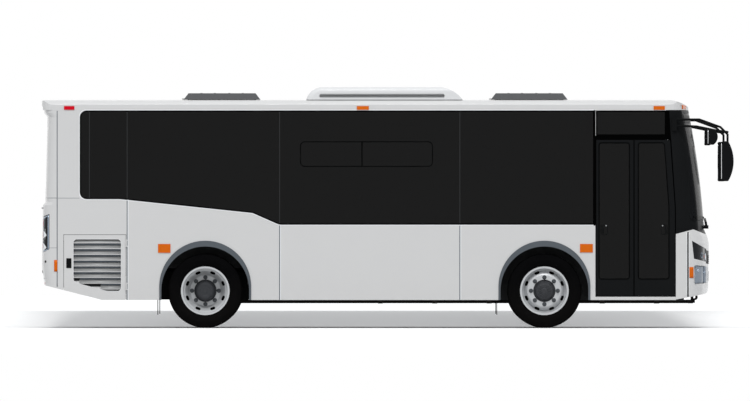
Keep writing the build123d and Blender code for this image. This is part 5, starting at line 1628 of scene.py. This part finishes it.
@dataclass
class Cabin(Assembly):
    """Cloth pads on the moulded seats."""

    place_width: float = 440.0
    benches: tuple = (
        (-1031.0, 250.0, 2, 825.0),
        (-281.0, 250.0, 2, 825.0),
        (469.0, 250.0, 2, 825.0),
        (-2501.0, 250.0, 1, 1225.0),
    )
    rear_bench: tuple = (-3211.0, -1100.0, 5, 1225.0)
    driver: tuple = (2864.0, 480.0, 1, 825.0)

    def build(self) -> None:
        """Makes the pads of the passenger seats and of the driver's seat."""
        pads = []
        for x, y, places, z in self.benches:
            row = joined(
                [self.place_pads(x, y + index * self.place_width, z) for index in range(places)]
            )
            pads.append(both(row))
        x, y, places, z = self.rear_bench
        pads += [self.place_pads(x, y + index * self.place_width, z) for index in range(places)]
        cloth = make("seat_pads", joined(pads), Finishes.CLOTH, "body")
        x, y, _, z = self.driver
        driver = make(
            "driver_seat_pads", self.place_pads(x, y + 20, z), Finishes.CLOTH, "body"
        )

    def place_pads(self, x: float, y: float, z: float) -> Surface:
        """The cushion and back pad of one seat place.

        Args:
            x: Rear edge of the cushion.
            y: Low Y of the place.
            z: Height of the cushion's top.

        Returns:
            Both pads.
        """
        across = np.array([0.0, 1.0, 0.0])
        middle = y + self.place_width / 2
        cushion_way = np.array([370.0, 0, 14.0])
        cushion = self.pad(
            np.array([x + 245.0, middle, z + 1]), cushion_way, across * 400,
            np.array([-0.04, 0, 1.0]),
        )
        back_way = np.array([-38.0, 0, 520.0])
        back = self.pad(
            np.array([x + 40.0, middle, z + 310]), back_way, across * 400, np.array([1.0, 0, 0.07])
        )
        return joined([cushion, back])

    def pad(
        self, centre: np.ndarray, long: np.ndarray, wide: np.ndarray, up: np.ndarray
    ) -> Surface:
        """A crowned closed pad.

        Its plan is u^8 + v^8 = 1 and its thickness falls to the edge as (1 - u^6)(1 - v^6), above
        and below.

        Args:
            centre: Middle of the pad.
            long: Full length as a vector.
            wide: Full width as a vector.
            up: Direction that the pad faces.

        Returns:
            The pad.
        """
        t = np.linspace(-np.pi, np.pi, 48, endpoint=False)[:, None]
        s = np.linspace(0, np.pi, 15)[None, :]
        u = np.sign(np.cos(t)) * np.abs(np.cos(t)) ** 0.25 * np.sin(s) ** 0.5
        v = np.sign(np.sin(t)) * np.abs(np.sin(t)) ** 0.25 * np.sin(s) ** 0.5
        lift = np.sign(np.cos(s)) * (1 - np.abs(u) ** 6) * (1 - np.abs(v) ** 6) * 11 + 0 * u
        grid = centre + u[..., None] * long / 2 + v[..., None] * wide / 2 + lift[..., None] * up
        return sheet_of(grid, wrap_u=True)


# Stage and camera


@dataclass
class Stage:
    """Floor, lights, world and camera."""

    lens: float = 880.0
    sensor: float = 36.0
    cove_y: tuple = (1500.0, 2700.0)
    cove_height: float = 190.0
    floor_reach: float = 40000.0
    floor_glow: float = 0.03
    sun_strength: float = 1.7
    sun_spread: float = 25.0
    sun_lean: float = 38.0
    sky_strength: float = 0.73

    def build(self) -> None:
        """Makes the whole stage."""
        self.floor()
        self.world()
        self.sun()
        self.camera()
        bpy.context.scene.view_settings.view_transform = "Standard"

    def seen_white(self, tree: bpy.types.NodeTree) -> bpy.types.NodeSocket:
        """A value of 1 for rays from the camera, gloss and glass, which see the white background.

        Args:
            tree: The node tree that gets the nodes.

        Returns:
            The value.
        """
        rays = [
            add_node(tree, "ShaderNodeLightPath", {}, f"Is {name} Ray")
            for name in ("Camera", "Glossy", "Transmission")
        ]
        either = add_node(tree, "ShaderNodeMath", {0: rays[0], 1: rays[1]}, operation="MAXIMUM")
        return add_node(tree, "ShaderNodeMath", {0: either, 1: rays[2]}, operation="MAXIMUM")

    def floor(self) -> None:
        """A pale floor, white to the eye where it is lit, which keeps the bus's shadow.

        Behind the bus it rises as h t^2 (3 - 2t), so that the shadow also shows from the level of
        the ground.
        """
        start, end = self.cove_y
        y = np.concatenate([[-self.floor_reach], np.linspace(start, end, 25), [self.floor_reach]])
        rise = np.clip((y - start) / (end - start), 0, 1)
        z = self.cove_height * rise**2 * (3 - 2 * rise) - 1.0
        x = np.array([[-self.floor_reach], [self.floor_reach]])
        grid = np.stack([np.broadcast_to(axis, (2, len(y))) for axis in (x, y, z)], axis=-1)
        surface = sheet_of(grid)
        mesh = bpy.data.meshes.new("floor")
        mesh.from_pydata(metres(surface.points).tolist(), [], surface.faces.tolist())
        material = bpy.data.materials.new("matt_studio_floor")
        material.use_nodes = True
        tree = material.node_tree
        seen = self.seen_white(tree)
        glow = {0: seen, 1: self.floor_glow}
        matt = {
            "Base Color": add_node(
                tree, "ShaderNodeMix", {0: seen, 6: linear("#cfcfcf"), 7: WHITE}, 2,
                data_type="RGBA",
            ),
            "Roughness": 0.95,
            "Specular IOR Level": 0.0,
            "Emission Color": WHITE,
            "Emission Strength": add_node(tree, "ShaderNodeMath", glow, operation="MULTIPLY"),
        }
        fill(tree, tree.nodes["Principled BSDF"], matt)
        mesh.materials.append(material)
        floor = bpy.data.objects.new("floor", mesh)
        bpy.context.scene.collection.objects.link(floor)

    def world(self) -> None:
        """White for the camera, gloss and glass, and a soft sky for everything else."""
        world = bpy.data.worlds.new("studio")
        bpy.context.scene.world = world
        world.use_nodes = True
        tree = world.node_tree
        sky = tree.nodes["Background"]
        fill(tree, sky, {"Color": linear("#f2f4f6"), "Strength": self.sky_strength})
        white = add_node(tree, "ShaderNodeBackground", {"Color": WHITE, "Strength": 1.0})
        shares = {0: self.seen_white(tree), 1: sky.outputs["Background"], 2: white}
        fill(
            tree, tree.nodes["World Output"],
            {"Surface": add_node(tree, "ShaderNodeMixShader", shares)},
        )

    def sun(self) -> None:
        """One soft light from above and ahead of the shown side."""
        light = bpy.data.lights.new("sun", "SUN")
        light.energy = self.sun_strength
        light.angle = math.radians(self.sun_spread)
        lamp = bpy.data.objects.new("sun", light)
        lamp.rotation_euler = (math.radians(self.sun_lean), 0, 0)
        bpy.context.scene.collection.objects.link(lamp)

    def camera(self) -> None:
        """A long lens square to the right side, framed as the photo is."""
        data = bpy.data.cameras.new("photo")
        data.lens, data.sensor_width = self.lens, self.sensor
        data.clip_end = 1000
        camera = bpy.data.objects.new("photo", data)
        width = PHOTO_SIZE[0] * PIXEL
        x, z = (np.array(PHOTO_SIZE) / 2 - PHOTO_ORIGIN) * (PIXEL, -PIXEL)
        distance = width * self.lens / self.sensor
        camera.location = metres((x, SIDE_Y - distance, z))
        camera.rotation_euler = (math.pi / 2, 0, 0)
        bpy.context.scene.collection.objects.link(camera)
        bpy.context.scene.camera = camera


# Scene


def paint_nodes(nodes: dict) -> None:
    """Gives each CAD node its finish.

    Args:
        nodes: CAD objects by name.
    """
    for name, cad in nodes.items():
        key = max((key for key in NODE_FINISH if name.startswith(key)), key=len)
        cad.data.materials.clear()
        cad.data.materials.append(NODE_FINISH[key].value.build())


def main() -> None:
    """Builds the scene."""
    logging.basicConfig(level=logging.INFO)
    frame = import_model()
    paint_nodes(frame["nodes"])
    for assembly in (Wheels, SideTrim, DoorTrim, Patches, Nose, Tail, RoofTrim, MirrorTrim, Cabin):
        log.info("building %s", assembly.__name__)
        assembly(frame).build()
    Stage().build()
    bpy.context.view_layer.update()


if __name__ == "__main__":
    main()
